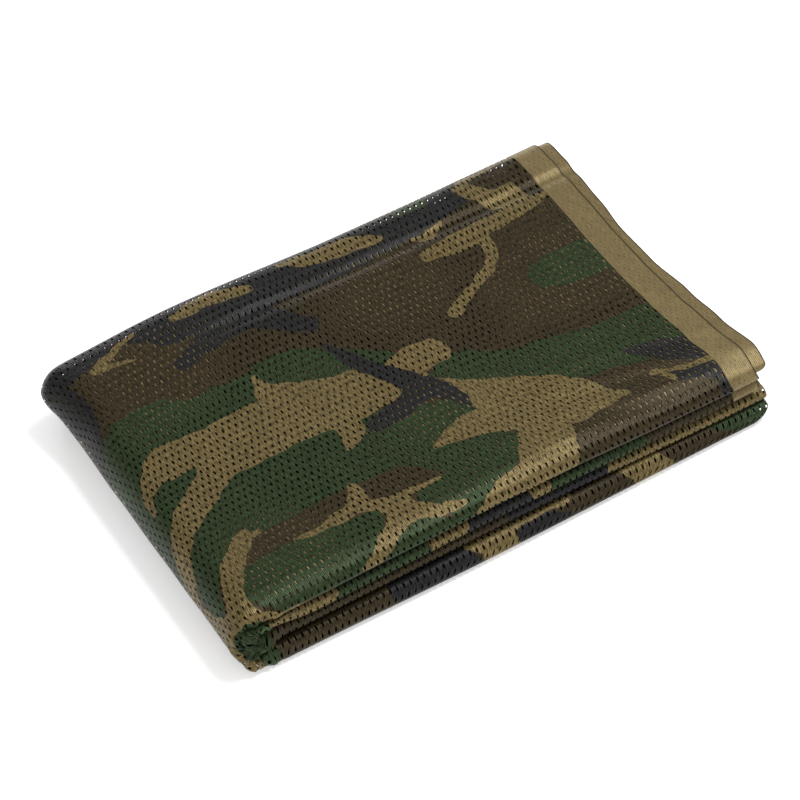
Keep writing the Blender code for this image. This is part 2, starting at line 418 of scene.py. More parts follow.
    def section(self, v: np.ndarray, offset: np.ndarray, along: np.ndarray, side: np.ndarray) -> tuple:
        """The section's y, height above the pack's middle, and share of inner pass.

        Args:
            v: Flat distances from the flap's cut edge.
            offset: Offsets from the doubled cloth's middle.
            along: Places along the half.
            side: 1 on the upper side, -1 on the lower.

        Returns:
            The y values, the heights, and 0 on the outermost pass to 1 on the inner ones.
        """
        first, second, third, last = (self.pass_height(number) for number in (3, 2, 1, 0))
        outer_y = self.roll_centre(self.upper_outer_roll, self.lower_outer_roll, along, side)
        inner_y = self.roll_centre(self.upper_inner_roll, self.lower_inner_roll, along, side)
        flap_y = self.half_depth - self.half_layer - 0.5 * self.thickness
        turn_y, turn_h = flap_y - self.flap_corner, first - self.flap_corner
        back_y = self.half_depth - self.back_set_in
        half_pitch = 0.5 * self.pass_pitch
        y, h = np.zeros_like(v), np.zeros_like(v)
        start = 0.0
        for index, stretch in enumerate(self.along):
            on = (v >= start) if index else np.ones_like(v, bool)
            share = np.clip((v[on] - start) / stretch.length, 0.0, 1.0)
            start += stretch.length
            off, outer, inner = offset[on], outer_y[on], inner_y[on]
            if stretch.name == "flap":
                wave = self.flap_edge_wave * np.sin(self.flap_edge_turns * along[on] + side[on])
                y[on], h[on] = flap_y + off, mix(self.flap_edge_height + wave, turn_h, share)
            elif stretch.name == "flap corner":
                y[on], h[on] = round_roll(turn_y, turn_h, self.flap_corner + off, 0.5 * share, 1.0)
            elif stretch.name == "first pass":
                y[on], h[on] = mix(turn_y, outer, share), first + off
            elif stretch.name == "outer roll":
                y[on], h[on] = round_roll(outer, 0.5 * (first + second), half_pitch + off, 0.5 + share,
                                          self.front_stretch)
            elif stretch.name == "second pass":
                y[on], h[on] = mix(outer, back_y, share), second - off
            elif stretch.name == "back roll":
                y[on], h[on] = round_roll(back_y, 0.5 * (second + third), half_pitch - off, 0.5 - share,
                                          self.back_stretch)
            elif stretch.name == "third pass":
                y[on], h[on] = mix(back_y, inner, share), third + off
            elif stretch.name == "inner roll":
                y[on], h[on] = round_roll(inner, 0.5 * (third + last), half_pitch + off, 0.5 + share,
                                          self.front_stretch)
            else:
                y[on], h[on] = mix(inner, self.half_depth - self.inner_end_set_in, share), last - off
        return y, h, Ramp(self.start_of("outer roll"), self.front_roll_length).at(v)

    def reach(self, y: np.ndarray, offset: np.ndarray, inner: np.ndarray, side: np.ndarray,
              second_layer: bool) -> np.ndarray:
        """Where a panel's right-hand edge ends along X.

        Args:
            y: Places from front to back.
            offset: Offsets from the doubled cloth's middle.
            inner: 0 on the outermost pass to 1 on the inner ones.
            side: 1 on the upper side, -1 on the lower.
            second_layer: Whether it is the layer below the top one, whatever its offset.

        Returns:
            One x for each place.
        """
        top, below, inside = (eased_table(y, self.selvedges, column) for column in (1, 2, 3))
        second = np.ones_like(y) if second_layer else 0.5 * (1.0 - offset / self.half_layer)
        upper = mix(mix(top, below, second), inside, inner)
        lower = mix(self.outer_fold_reach, self.inner_fold_reach, inner)
        return np.where(side < 0.0, lower, upper)

    def left_shift(self, x: np.ndarray, y: np.ndarray, z: np.ndarray) -> np.ndarray:
        """How far the left end stands in; its back corner leans out with its height.

        Args:
            x: Places along the pack.
            y: Places from front to back.
            z: Heights.

        Returns:
            How far each place moves to the right.
        """
        set_in = eased_table(y, self.left_edge, 1)
        fade = Ramp(self.left_end + self.left_edge_reach, -self.left_edge_reach).at(x)
        behind = Ramp(self.lean_start, self.half_depth - self.lean_start).at(y)
        at_end = Ramp(self.left_end + self.lean_reach, -self.lean_reach).at(x)
        lean = mix(self.lean_low, self.lean_high, self.lean_heights.at(z / (2.0 * self.half_height)))
        return set_in * fade - behind * at_end * lean

    def settle(self, x: np.ndarray, y: np.ndarray, z: np.ndarray, relief: "Relief") -> np.ndarray:
        """Turn the straight, level pack into the soft one; the underside stays flat.

        Args:
            x: Places along the pack.
            y: Places from front to back.
            z: Heights.
            relief: The soft forms of the pack's top and front.

        Returns:
            The places in the soft pack, one row of three for each.
        """
        past = np.clip((self.left_end + self.corner_radius - x) / self.corner_radius, 0.0, 1.0)
        draw = self.corner_draw * (1.0 - np.sqrt(1.0 - past * past))
        soft_y = y * (1.0 - draw / self.half_depth)
        soft_x = x + self.left_shift(x, soft_y, z)
        level = (z - 0.5 * self.thickness) / (2.0 * self.half_height - self.thickness)
        rise = relief.top(soft_x, soft_y) * np.clip(level, 0.0, 1.0) ** 2
        near_end = self.rim_ends.at(np.abs(soft_x))
        near_side = self.rim_sides.at(np.abs(soft_y))
        clear = np.maximum(near_end, near_side) * (1.0 - near_end * near_side)
        rise = rise + self.rim_clearance * clear * (1.0 - level) ** 2
        near_front = Ramp(self.front_sag_depth - self.half_depth, -self.front_sag_depth).at(soft_y)
        near_right = Ramp(self.front_sag_start, 0.5 * self.length - self.front_sag_start).at(soft_x)
        sag = self.front_sag * near_front * near_right * np.sin(math.pi * level)
        return np.stack([soft_x, soft_y + relief.back_push(soft_x, soft_y), z + rise - sag], axis=1)

    def place(self, u: np.ndarray, v: np.ndarray, relief: "Relief", nestled: bool) -> tuple:
        """Carry places on the flat cloth to the pack.

        Args:
            u: Distances across the cloth from the top layer's selvedge.
            v: Distances along the cloth from the flap's cut edge.
            relief: The soft forms of the pack's top and front.
            nestled: Whether the layer below the top one lies close up against it.

        Returns:
            An array of points, and the flat print coordinates p and q in millimetres.
        """
        along, angle, offset, nose = self.across_place(u)
        if nestled:
            turned = self.start_of("inner end fold") + self.nestle_start * self.end_fold_length
            overrun = self.end_of("first pass") + self.nestle_overrun
            close = Ramp(turned, self.end_fold_length).at(u)
            close = close * Ramp(overrun, -2.0 * self.nestle_overrun).at(v)
            gap = self.nestle_gap + self.selvedge_gap * self.gap_opens.at(along)
            offset = mix(offset, self.half_layer - gap, close)
        side = np.sin(angle)
        y, h, inner = self.section(v, offset, along, side)
        run = self.reach(y, offset, inner, side, nestled) - self.fold_x
        x = self.fold_x + along * run + nose - self.end_bluntness * h * np.cos(angle)
        settled = self.settle(x, y, self.half_height + h * side, relief)
        points = relief.soften(settled) + np.array(self.shift)
        on_top = self.fold_x + along * run
        p = np.where(u < self.panel_length, on_top, self.fold_x + self.panel_length - u)
        q = self.end_of("first pass") + self.front_y - v
        return points, p / MM, q / MM

    def centred_on(self, low: Vector, high: Vector, relief: "Relief") -> "FoldedPack":
        """The same pack, set on the frame's box.

        Args:
            low: The box's lowest corner.
            high: The box's highest corner.
            relief: The soft forms of the pack's top and front.

        Returns:
            The pack with its shift.
        """
        ends = (self.end_of(stretches[-1].name) for stretches in (self.across, self.along))
        lines = (np.linspace(0.0, end, count) for end, count in zip(ends, self.measured_at))
        u, v = np.meshgrid(*lines)
        points = self.place(u.ravel(), v.ravel(), relief, False)[0]
        own_low, own_high = points.min(axis=0), points.max(axis=0)
        shift = 0.5 * (np.array(low) + np.array(high) - own_low - own_high)
        shift[2] = low[2] + 0.5 * self.thickness - own_low[2]
        return replace(self, shift=tuple(float(value) for value in shift))


@dataclass(frozen=True)
class Relief:
    """The soft forms that the folded cloth took: swell, crease, ripples and gathers."""

    half_depth: float = 0.1215
    front_drop: float = 0.0058
    front_drop_reach: float = 0.031
    back_drop: float = 0.0024
    back_drop_reach: float = 0.016
    swell: float = 0.0009
    swell_along: Wave = Wave(14.0, 0.0, 0.6)
    swell_back: Wave = Wave(0.0, 17.0, 0.5 * math.pi - 0.5)
    # The crease that was pressed in along the back
    crease_from_back: float = 0.0365
    crease_width: float = 0.0050
    crease_trough: float = 0.0017
    crease_ridge: float = 0.0007
    crease_starts: Ramp = Ramp(-0.130, 0.080)
    crease_sway: float = 0.0006
    crease_way: Wave = Wave(23.0, 0.0, 0.7)
    # In crease widths, behind the crease's middle
    trough_form: Hill = Hill(0.0, 1.0)
    ridge_form: Hill = Hill(1.6, 1.0)
    # Slanted ripples at the right front, and broad ones over the whole top
    ripple: float = 0.00028
    ripple_x: Hill = Hill(0.11, 0.07)
    ripple_y: Hill = Hill(-0.075, 0.04)
    ripple_slant: float = 0.35
    ripple_length: float = 0.019
    ripple_bend: float = 1.5
    ripple_bend_turns: float = 30.0
    ripple_share: float = 1.6
    broad_share: float = 0.8
    broad_waves: tuple = (Wave(61.0, 17.0), Wave(-21.0, 38.0, 1.0))
    # The folds stand proud at the back left
    bulge_rise: float = 0.0040
    bulge_push: float = 0.0030
    bulge: Hill = Hill(-0.090, 0.084)
    bulge_behind: Ramp = Ramp(0.02, 0.08)
    # The gathers round the front left corner
    gather_at: tuple = (-0.1740, -0.1120, 0.0220)
    gather_form: tuple = (1.0, 1.0, 0.75)
    gather_reach: Ramp = Ramp(0.034, -0.034)
    gather_broad: Wave = Wave(9.0, 260.0)
    gather_fine: Wave = Wave(17.0, -330.0, 1.3)
    gather_fine_share: float = 0.6
    gather_right: float = 0.0007
    gather_forward: float = 0.0010

    def crease(self, x: np.ndarray, y: np.ndarray) -> np.ndarray:
        """Height of the pressed crease: a trough with a ridge behind it.

        Args:
            x: Places along the pack.
            y: Places from front to back.

        Returns:
            One height for each place.
        """
        middle = self.half_depth - self.crease_from_back + self.crease_sway * self.crease_way.at(x, y)
        gone = (y - middle) / self.crease_width
        ridge, trough = self.ridge_form.at(gone), self.trough_form.at(gone)
        return self.crease_starts.at(x) * (self.crease_ridge * ridge - self.crease_trough * trough)

    def ripples(self, x: np.ndarray, y: np.ndarray) -> np.ndarray:
        """Low diagonal ripples, strongest at the right front of the top.

        Args:
            x: Places along the pack.
            y: Places from front to back.

        Returns:
            One height for each place.
        """
        near = self.ripple_x.at(x) * self.ripple_y.at(y)
        turn = 2.0 * math.pi * (self.ripple_slant * x + y) / self.ripple_length
        wave = np.sin(turn + self.ripple_bend * np.sin(self.ripple_bend_turns * x))
        broad = self.broad_waves[0].at(x, y) * self.broad_waves[1].at(x, y)
        return self.ripple * (self.ripple_share * near * wave + self.broad_share * broad)

    def back_push(self, x: np.ndarray, y: np.ndarray) -> np.ndarray:
        """How far the back bulges outwards."""
        return self.bulge_push * self.bulge.at(x) * smooth(y / self.half_depth)

    def top(self, x: np.ndarray, y: np.ndarray) -> np.ndarray:
        """How far the top of the pack stands off its level height.

        Args:
            x: Places along the pack.
            y: Places from front to back.

        Returns:
            One height for each place.
        """
        front = Ramp(self.front_drop_reach - self.half_depth, -self.front_drop_reach).at(y)
        back = Ramp(self.half_depth - self.back_drop_reach, self.back_drop_reach).at(y)
        swell = self.swell * self.swell_along.at(x, y) * self.swell_back.at(x, y)
        drop = self.front_drop * front + self.back_drop * back
        raised = self.bulge_rise * self.bulge.at(x) * self.bulge_behind.at(y)
        return swell + raised + self.crease(x, y) + self.ripples(x, y) - drop

    def soften(self, points: np.ndarray) -> np.ndarray:
        """Press the gathers into the front left corner, where the rolls turn.

        Args:
            points: Places in the pack.

        Returns:
            The softened places.
        """
        away = points - np.array(self.gather_at)
        near = self.gather_reach.at(np.linalg.norm(away * np.array(self.gather_form), axis=1))
        turn = np.arctan2(away[:, 2], away[:, 0])
        fine = self.gather_fine_share * self.gather_fine.at(turn, away[:, 1])
        folds = near * (self.gather_broad.at(turn, away[:, 1]) + fine)
        moved = points.copy()
        moved[:, 0] += self.gather_right * folds
        moved[:, 1] -= self.gather_forward * folds
        return moved


@dataclass(frozen=True)
class Crumple:
    """How rolls bunch where they turn at the front left corner, and how plump the lowest one is."""

    centre_x: float = -0.1690
    centre_z: float = 0.0236
    turn_x: float = 0.012
    near_x: Ramp = Ramp(-0.1540, -0.0180)
    near_y: Ramp = Ramp(-0.0900, -0.0180)
    stretch: float = 0.45
    swell: float = 0.85
    push: float = 0.0042
    pleat: float = 0.0016
    pleat_turns: float = 4.5
    pleat_bend: float = 1.6
    pleat_way: Wave = Wave(3.0, 90.0)
    small_share: float = 0.35
    small_waves: tuple = (Wave(700.0, 260.0), Wave(520.0, -430.0))
    right_share: float = 0.5
    # The bunch rises off the rolls below it
    lift: float = 0.0046
    lift_x: Ramp = Ramp(-0.126, -0.034)
    lift_y: Ramp = Ramp(-0.086, -0.022)
    lift_z: Hill = Hill(0.0290, 0.0080)
    # The upper side of the lowest roll
    plump: float = 0.0
    plump_y: Hill = Hill(-0.1115, 0.0058)
    plump_z: Ramp = Ramp(0.0050, 0.0040)
    # What would stand above this height is pressed down under the top layer
    highest: float = 0.0345
    pressed_share: float = 0.88
    pressed_x: Ramp = Ramp(-0.124, -0.016)
    pressed_y: Ramp = Ramp(-0.082, -0.010)

    def bunch(self, points: np.ndarray) -> np.ndarray:
        """Swell the turned rolls, press pleats into them and keep them under the top layer.

        Args:
            points: Places in the pack.

        Returns:
            The bunched places.
        """
        x, y, z = points.T.copy()
        z += self.lift * self.lift_x.at(x) ** 2 * self.lift_y.at(y) * self.lift_z.at(z)
        z += self.plump * self.plump_y.at(y) * self.plump_z.at(z)
        near = self.near_x.at(x) * self.near_y.at(y)
        from_x, from_z = x - self.centre_x, z - self.centre_z
        pleats = self.pleats(from_x, y, from_z)
        pressed = self.pressed_share * self.pressed_x.at(x) * self.pressed_y.at(y)
        x += near * (self.stretch * np.minimum(from_x, 0.0) - self.right_share * pleats)
        y -= near * (self.push + pleats)
        z += near * self.swell * from_z
        z -= pressed * np.maximum(z - self.highest, 0.0)
        return np.stack([x, y, z], axis=1)

    def pleats(self, from_x: np.ndarray, y: np.ndarray, from_z: np.ndarray) -> np.ndarray:
        """How far the pleats stand out.

        Args:
            from_x: Distances from the middle of the bunch along X.
            y: Places from front to back.
            from_z: Heights above its middle.

        Returns:
            One distance for each place.
        """
        turn = np.arctan2(from_z, from_x - self.turn_x)
        bend = self.pleat_bend * self.pleat_way.at(turn, y)
        folds = 1.0 - 2.0 * np.abs(np.sin(self.pleat_turns * turn + bend))
        small = self.small_waves[0].at(from_z, y) * self.small_waves[1].at(from_x, from_z)
        return self.pleat * (folds + self.small_share * small)


@dataclass(frozen=True)
class Stroke:
    """One stroke of the print: its ink and its points (p, q, half width), in millimetres."""

    ink: Ink
    points: tuple


BROWN, GREEN, SAND, BLACK = Ink.BROWN, Ink.GREEN, Ink.SAND, Ink.BLACK

# The print of the top face, in the order it is laid down, drawn as brush strokes
TOP_PRINT = (
    Stroke(BLACK, ((-205, 96, 12), (-192, 90, 14), (-191, 70, 10), (-195, 50, 8), (-196, 38, 4))),
    Stroke(BLACK, ((-190, 112, 14), (-140, 114, 10), (-110, 106, 16), (-60, 101, 15), (0, 101, 15),
                   (60, 102, 13), (100, 104, 10), (112, 104, 4))),
    Stroke(BLACK, ((-111, 73.5, 4.5), (-104, 76, 5), (-92, 80, 7), (-65, 84, 9), (-50, 79, 9.5),
                   (-41, 69, 8), (-31, 62, 6.5), (-28, 61, 5))),
    Stroke(BROWN, ((-172, 94, 6), (-150, 97, 7), (-130, 97, 7), (-118, 92, 3))),
    Stroke(GREEN, ((66, 112, 4), (82, 111, 4))),
    Stroke(GREEN, ((-205, 20, 14), (-182, 40, 14), (-160, 43, 16), (-141, 43, 15), (-125, 38, 12),
                   (-107, 38, 12), (-85, 36, 11), (-70, 40, 12), (-55, 37, 13), (-38, 28, 13),
                   (-12, 16, 8), (2, 9, 3))),
    Stroke(GREEN, ((-206, 10, 14), (-204, -20, 14), (-205, -50, 10))),
    Stroke(GREEN, ((-192, 8, 14), (-170, 20, 13), (-140, 24, 12), (-60, 24, 12))),
    Stroke(GREEN, ((-192, -6, 12), (-165, 1, 9), (-150, 3, 5))),
    Stroke(GREEN, ((-24, -36, 10), (4, -42, 9), (12, -46, 5))),
    Stroke(GREEN, ((-30, -104, 8), (-10, -106, 7), (4, -104, 6))),
    Stroke(GREEN, ((-189, -102, 1.5), (-190, -92, 4.5), (-190, -80, 8), (-182, -68, 11), (-155, -48, 17),
                   (-120, -38, 24), (-84, -38, 23), (-50, -43, 18), (-20, -51, 18), (-2, -50, 12))),
    Stroke(GREEN, ((-170, -30, 16), (-130, -20, 14), (-70, -24, 14), (-30, -30, 12))),
    Stroke(GREEN, ((-45, -62, 8), (-25, -72, 10), (-10, -74, 10))),
    Stroke(GREEN, ((-160, -92, 14), (-138, -96, 21), (-108, -97, 19), (-90, -93, 11.5), (-72, -83, 2.5))),
    Stroke(GREEN, ((-43, -91, 6), (-28, -90, 11), (-12, -86, 17), (4, -84.5, 17), (13, -80, 13))),
    Stroke(GREEN, ((10, -15, 4), (28, -17, 12), (45, -27, 12), (62, -36, 14), (82, -43, 18),
                   (105, -48, 18), (130, -52, 20), (160, -54, 20))),
    Stroke(GREEN, ((114, 19, 12), (128, 18, 14), (150, 17, 14.5), (165, 17, 15))),
    Stroke(BROWN, ((-152, -69, 2.5), (-138, -67, 7), (-120, -67.5, 8), (-100, -67, 8), (-84, -65, 6.5),
                   (-72, -66, 6.5), (-60, -69, 8.5), (-45, -71, 8), (-33, -77, 4), (-26, -80, 1.5))),
    Stroke(SAND, ((-186, -8, 2.5), (-183, 2, 4.5), (-174, 10, 7.5), (-160, 17, 11), (-143, 7, 20),
                  (-125, 6, 20), (-100, 6.5, 20.5), (-78, 6, 20), (-60, 4, 21), (-45, 0, 19.5),
                  (-34, -1, 18), (-20, -9, 8), (-14, -14, 2))),
    Stroke(SAND, ((-80, 44, 0.8), (-80, 36, 3.5), (-78, 27, 8), (-66, 20, 8))),
    Stroke(SAND, ((-135, -6, 10), (-155, -17, 10.5), (-172, -29, 9.5), (-184, -39, 8.5), (-193, -52, 8),
                  (-205, -68, 8), (-216, -84, 8))),
    Stroke(SAND, ((-52, -16, 8), (-54, -24, 8), (-58, -30, 5), (-63, -35.5, 1.5))),
    Stroke(SAND, ((-4, 1, 10), (8, 3, 11), (21, 2, 10))),
    Stroke(SAND, ((-2, -2, 9), (4, -6, 6))),
    Stroke(GREEN, ((-196, -26, 8), (-176, -12, 6.5), (-163, -4, 6), (-152, 0, 4), (-147, 3, 1.5))),
    Stroke(SAND, ((6, -15, 2), (24, -38, 10), (45, -58, 18), (64, -71, 19), (80, -78, 11), (92, -84, 5),
                  (101, -86.5, 1.5))),
    Stroke(SAND, ((32, -62, 14), (4, -59, 8), (-10, -60, 4.5), (-20, -61, 1))),
    Stroke(SAND, ((42, -86, 16), (34, -104, 18), (26, -120, 18))),
    Stroke(SAND, ((18, -108, 9), (-2, -109, 6), (-14, -112, 4), (-24, -116, 2))),
    Stroke(SAND, ((-148, -59, 4), (-140, -58.5, 1.6))),
    Stroke(SAND, ((-146, -56, 3), (-153, -61.5, 6), (-167, -75, 7.2), (-175, -88, 7.2), (-178, -100, 8),
                  (-180, -110, 12), (-170, -119, 11), (-150, -121, 7), (-112, -124, 4))),
    Stroke(SAND, ((-205, -78, 4), (-202, -92, 6), (-197, -108, 10), (-212, -118, 16), (-238, -124, 14))),
    Stroke(SAND, ((-76, -62, 4.5), (-78, -70, 5.5), (-88, -75.5, 5), (-100, -76, 3.5), (-112, -77, 2),
                  (-124, -75, 1))),
    Stroke(SAND, ((-82, -74, 5), (-70, -80, 5), (-62, -88, 9), (-61, -93, 10), (-72, -102, 8),
                  (-90, -111, 4.5), (-100, -113, 2))),
    Stroke(SAND, ((-62, -81, 3.5), (-45, -82, 2.5), (-28, -83, 1))),
    Stroke(SAND, ((-56, -95, 8), (-42, -102, 4.5), (-26, -104.5, 1.5))),
    Stroke(GREEN, ((-80, -117, 6), (-60, -113, 11), (-42, -118, 10), (-25, -121, 7))),
    Stroke(BLACK, ((-32, 42, 1.5), (-27, 32, 3.7), (-19, 14, 5.2), (-10, 0, 6.5), (-1, -14, 7.5),
                   (8, -25.5, 6.5), (14, -36, 5), (17, -44, 1.5))),
    Stroke(BLACK, ((-1, -20, 7), (-20, -25, 7), (-34, -27.5, 6), (-41, -28, 4))),
    Stroke(SAND, ((-98, 105.5, 2.5), (-86, 107.5, 4.5), (-72, 109, 5.5), (-58, 106, 4.5), (-48, 104, 3))),
    Stroke(SAND, ((-22, 113, 2), (-8, 109, 5), (5, 106, 6), (22, 105, 7), (36, 101, 5), (43, 99, 3))),
    Stroke(SAND, ((-124, 109, 1.2), (-138, 106, 2), (-150, 102, 2.5), (-161, 98, 2.8), (-150, 96, 1.8),
                  (-133, 91, 1))),
    Stroke(SAND, ((61, 88.5, 1), (70, 85.5, 3.2), (77, 87.5, 2), (83, 91, 0.7))),
    Stroke(SAND, ((108, 108, 4), (116, 98, 7), (121, 88, 7), (130, 87, 8), (134, 94, 4), (136, 82, 6))),
    Stroke(SAND, ((112, 113, 4), (135, 117, 3), (160, 118, 3))),
    Stroke(BROWN, ((130, 104, 7), (148, 104, 9), (168, 104, 9))),
    Stroke(SAND, ((60, 70.5, 4), (70, 70.5, 6), (84, 69.5, 8), (100, 71.5, 7), (112, 72.5, 6),
                  (126, 73.5, 5.3), (140, 75, 4.2), (156, 76.5, 2.6))),
    Stroke(SAND, ((97, 66, 4), (96, 55, 3.6), (90, 44, 3.4), (75, 36, 3.3), (60, 28.5, 3.8),
                  (49, 22, 4.5))),
    Stroke(BLACK, ((118, -58, 1.5), (125, -62, 4), (135, -68, 7.5), (150, -76, 10), (160, -78, 11))),
    Stroke(BLACK, ((130, -90, 3), (145, -95, 5), (156, -99, 7), (159, -110, 7), (158, -122, 8))),
    Stroke(SAND, ((122, -82, 2), (135, -86, 1.5), (150, -89.5, 1.5), (162, -89, 2))),
    Stroke(SAND, ((125, -82, 2), (130, -92, 1.6))),
    Stroke(SAND, ((-214, 88, 4), (-206, 80, 3))),
    Stroke(GREEN, ((-172, -118, 5), (-181, -119, 8), (-195, -120, 9), (-205, -122, 6))),
)
# The same on the two inner front rolls and on the lowest one, by places along X
SECOND_ROLL_PRINT = (
    Stroke(GREEN, ((-108, 8, 14), (-69, 8, 14))),
    Stroke(GREEN, ((-210, 6, 18), (-180, 6, 16))),
    Stroke(SAND, ((-154, 5, 12), (-142, 8, 12), (-123, 1, 7))),
    Stroke(BLACK, ((-30, 8, 14), (8, 8, 14))),
    Stroke(SAND, ((-41, 2, 14), (-44, 8, 10), (-45, 16, 8))),
    Stroke(SAND, ((22, 2, 6.5), (25, 8, 7), (29, 16, 8))),
    Stroke(GREEN, ((39, 8, 9), (88, 8, 10))),
)
THIRD_ROLL_PRINT = (
    Stroke(BLACK, ((6, 12, 7), (62, 10, 11))),
    Stroke(SAND, ((84, 8, 14), (120, 8, 14), (190, 8, 14))),
    Stroke(GREEN, ((-210, 8, 18), (-178, 8, 14))),
)
LOWEST_ROLL_PRINT = (
    Stroke(GREEN, ((-200, 8, 14), (-176, 8, 14), (-170, 12, 9), (-166, 20, 5))),
    Stroke(BLACK, ((-72, 14, 13), (-46, 12, 13), (-34, 8, 9))),
    Stroke(BLACK, ((4, 9, 6), (20, 11, 6), (34, 7, 6))),
    Stroke(SAND, ((-29, 20, 3.5), (-18, 19, 7), (6, 22, 6), (22, 24, 6.5), (38, 21.5, 5.5))),
    Stroke(SAND, ((-14, 8, 9), (-6, 7, 9))),
    Stroke(SAND, ((88, 28, 12), (94, 18, 12.5), (103, 4, 11.5))),
    Stroke(GREEN, ((149, 32, 15), (164, 24, 15), (180, 18, 14))),
    Stroke(SAND, ((-208, 1, 7), (-192, -4, 4.5), (-182, -6, 2.5))),
)


class Scatter(NamedTuple):
    """How an ink is scattered: the area for each stroke, its half width and its run."""

    ink: Ink
    area: float
    width: float
    run: float


@dataclass
class Print:
    """The printed pattern, held as signed distances to each ink's edge, in millimetres."""

    reach: float = 6.0
    steps: int = 5
    least_step: float = 1e-9
    # The wandering of the printed edges: long waves that sway, and short ones over them
    wobble: float = 0.7
    long_p: Wave = Wave(0.43, 1.3)
    long_q: Wave = Wave(0.39, 1.1)
    sway_p: Wave = Wave(0.0, 0.29)
    sway_q: Wave = Wave(0.33, 0.0, 2.0)
    short: Wave = Wave(1.7, 2.1)
    short_share: float = 0.3
    scatter_seed: int = 41
    scatters: tuple = (
        Scatter(GREEN, area=5200.0, width=15.0, run=46.0),
        Scatter(SAND, area=5200.0, width=9.0, run=44.0),
        Scatter(BROWN, area=9000.0, width=9.0, run=30.0),
        Scatter(BLACK, area=7600.0, width=8.0, run=38.0),
    )
    # How far a scattered stroke's heading varies, how wide its ends and its points are, and
    # how far apart they lie, as a share of its run
    heading_spread: float = 0.45
    bend_spread: float = 0.5
    end_share: float = 0.55
    narrowest: float = 0.45
    step_share: float = 0.34

    def wandering(self, p: np.ndarray, q: np.ndarray) -> tuple:
        """Shift places a little, so that the printed edges aren't drawn too smoothly.

        Args:
            p: Places across the print.
            q: Places along the print.

        Returns:
            The shifted p and q.
        """
        short = self.short_share * self.short.at(p, q)
        across = self.long_p.at(p, self.sway_p.at(p, q)) + short
        along = self.long_q.at(q, self.sway_q.at(p, q)) - short
        return p + self.wobble * across, q + self.wobble * along

    def curve(self, stroke: Stroke) -> np.ndarray:
        """Points along a stroke, on a smooth curve through the ones that it names.

        Args:
            stroke: The stroke.

        Returns:
            Rows of p, q and half width.
        """
        rows = np.array(stroke.points, float)
        padded = np.vstack([2 * rows[0] - rows[1], rows, 2 * rows[-1] - rows[-2]])
        t = np.arange(self.steps)[:, None] / self.steps
        found = [
            0.5 * (2 * b + (c - a) * t + (2 * a - 5 * b + 4 * c - d) * t**2
                   + (3 * b - a - 3 * c + d) * t**3)
            for a, b, c, d in zip(padded, padded[1:], padded[2:], padded[3:])
        ]
        return np.vstack([*found, rows[-1]])

    def distance(self, stroke: Stroke, p: np.ndarray, q: np.ndarray) -> np.ndarray:
        """Signed distances from places to a stroke's edge, below 0 inside it.

        Args:
            stroke: The stroke.
            p: Places across the print.
            q: Places along the print.

        Returns:
            Distances in millimetres, no larger than the print's reach.
        """
        found = np.full(p.shape, self.reach)
        line = self.curve(stroke)
        edge = line[:, 2].max() + self.reach
        low, high = line[:, :2].min(axis=0) - edge, line[:, :2].max(axis=0) + edge
        near = (p > low[0]) & (p < high[0]) & (q > low[1]) & (q < high[1])
        at_p, at_q, best = p[near], q[near], found[near]
        for start, end in zip(line, line[1:]):
            step = end - start
            size = max(step[0] ** 2 + step[1] ** 2, self.least_step)
            share = ((at_p - start[0]) * step[0] + (at_q - start[1]) * step[1]) / size
            share = np.clip(share, 0.0, 1.0)
            gone = np.hypot(at_p - start[0] - share * step[0], at_q - start[1] - share * step[1])
            best = np.minimum(best, gone - start[2] - share * step[2])
        found[near] = best
        return found

    def lay(self, strokes: tuple, p: np.ndarray, q: np.ndarray) -> dict:
        """Lay strokes over a brown ground, each over the ones before it.

        Args:
            strokes: The strokes, first to last.
            p: Places across the print.
            q: Places along the print.

        Returns:
            For each ink but brown, the signed distance to its edge.
        """
        at_p, at_q = self.wandering(p, q)
        inks = {ink: np.full(p.shape, self.reach) for ink in (GREEN, SAND, BLACK)}
        for stroke in strokes:
            gone = self.distance(stroke, at_p, at_q)
            for ink, edge in inks.items():
                if ink is stroke.ink:
                    np.minimum(edge, gone, out=edge)
                else:
                    np.maximum(edge, -gone, out=edge)
        return inks

    def scattered(self, low: tuple, high: tuple) -> tuple:
        """Strokes in the print's manner for the parts of the cloth that lie out of sight.

        Args:
            low: The lowest p and q of the part.
            high: The highest p and q of the part.

        Returns:
            The strokes, the same on each run.
        """
        rng = np.random.default_rng(self.scatter_seed)
        area = (high[0] - low[0]) * (high[1] - low[1])
        strokes = []
        for kind in self.scatters:
            for _ in range(max(1, round(area / kind.area))):
                at = np.array([rng.uniform(low[0], high[0]), rng.uniform(low[1], high[1])])
                heading = rng.normal(0.0, self.heading_spread) + (math.pi if rng.random() < 0.5 else 0.0)
                points = []
                for end in (self.end_share, 1.0, 1.0, self.end_share):
                    half = kind.width * rng.uniform(self.narrowest, 1.0) * end
                    points.append((at[0], at[1], half))
                    heading += rng.normal(0.0, self.bend_spread)
                    run = self.step_share * kind.run
                    at = at + run * np.array([math.cos(heading), math.sin(heading)])
                strokes.append(Stroke(kind.ink, tuple(points)))
        return tuple(strokes)


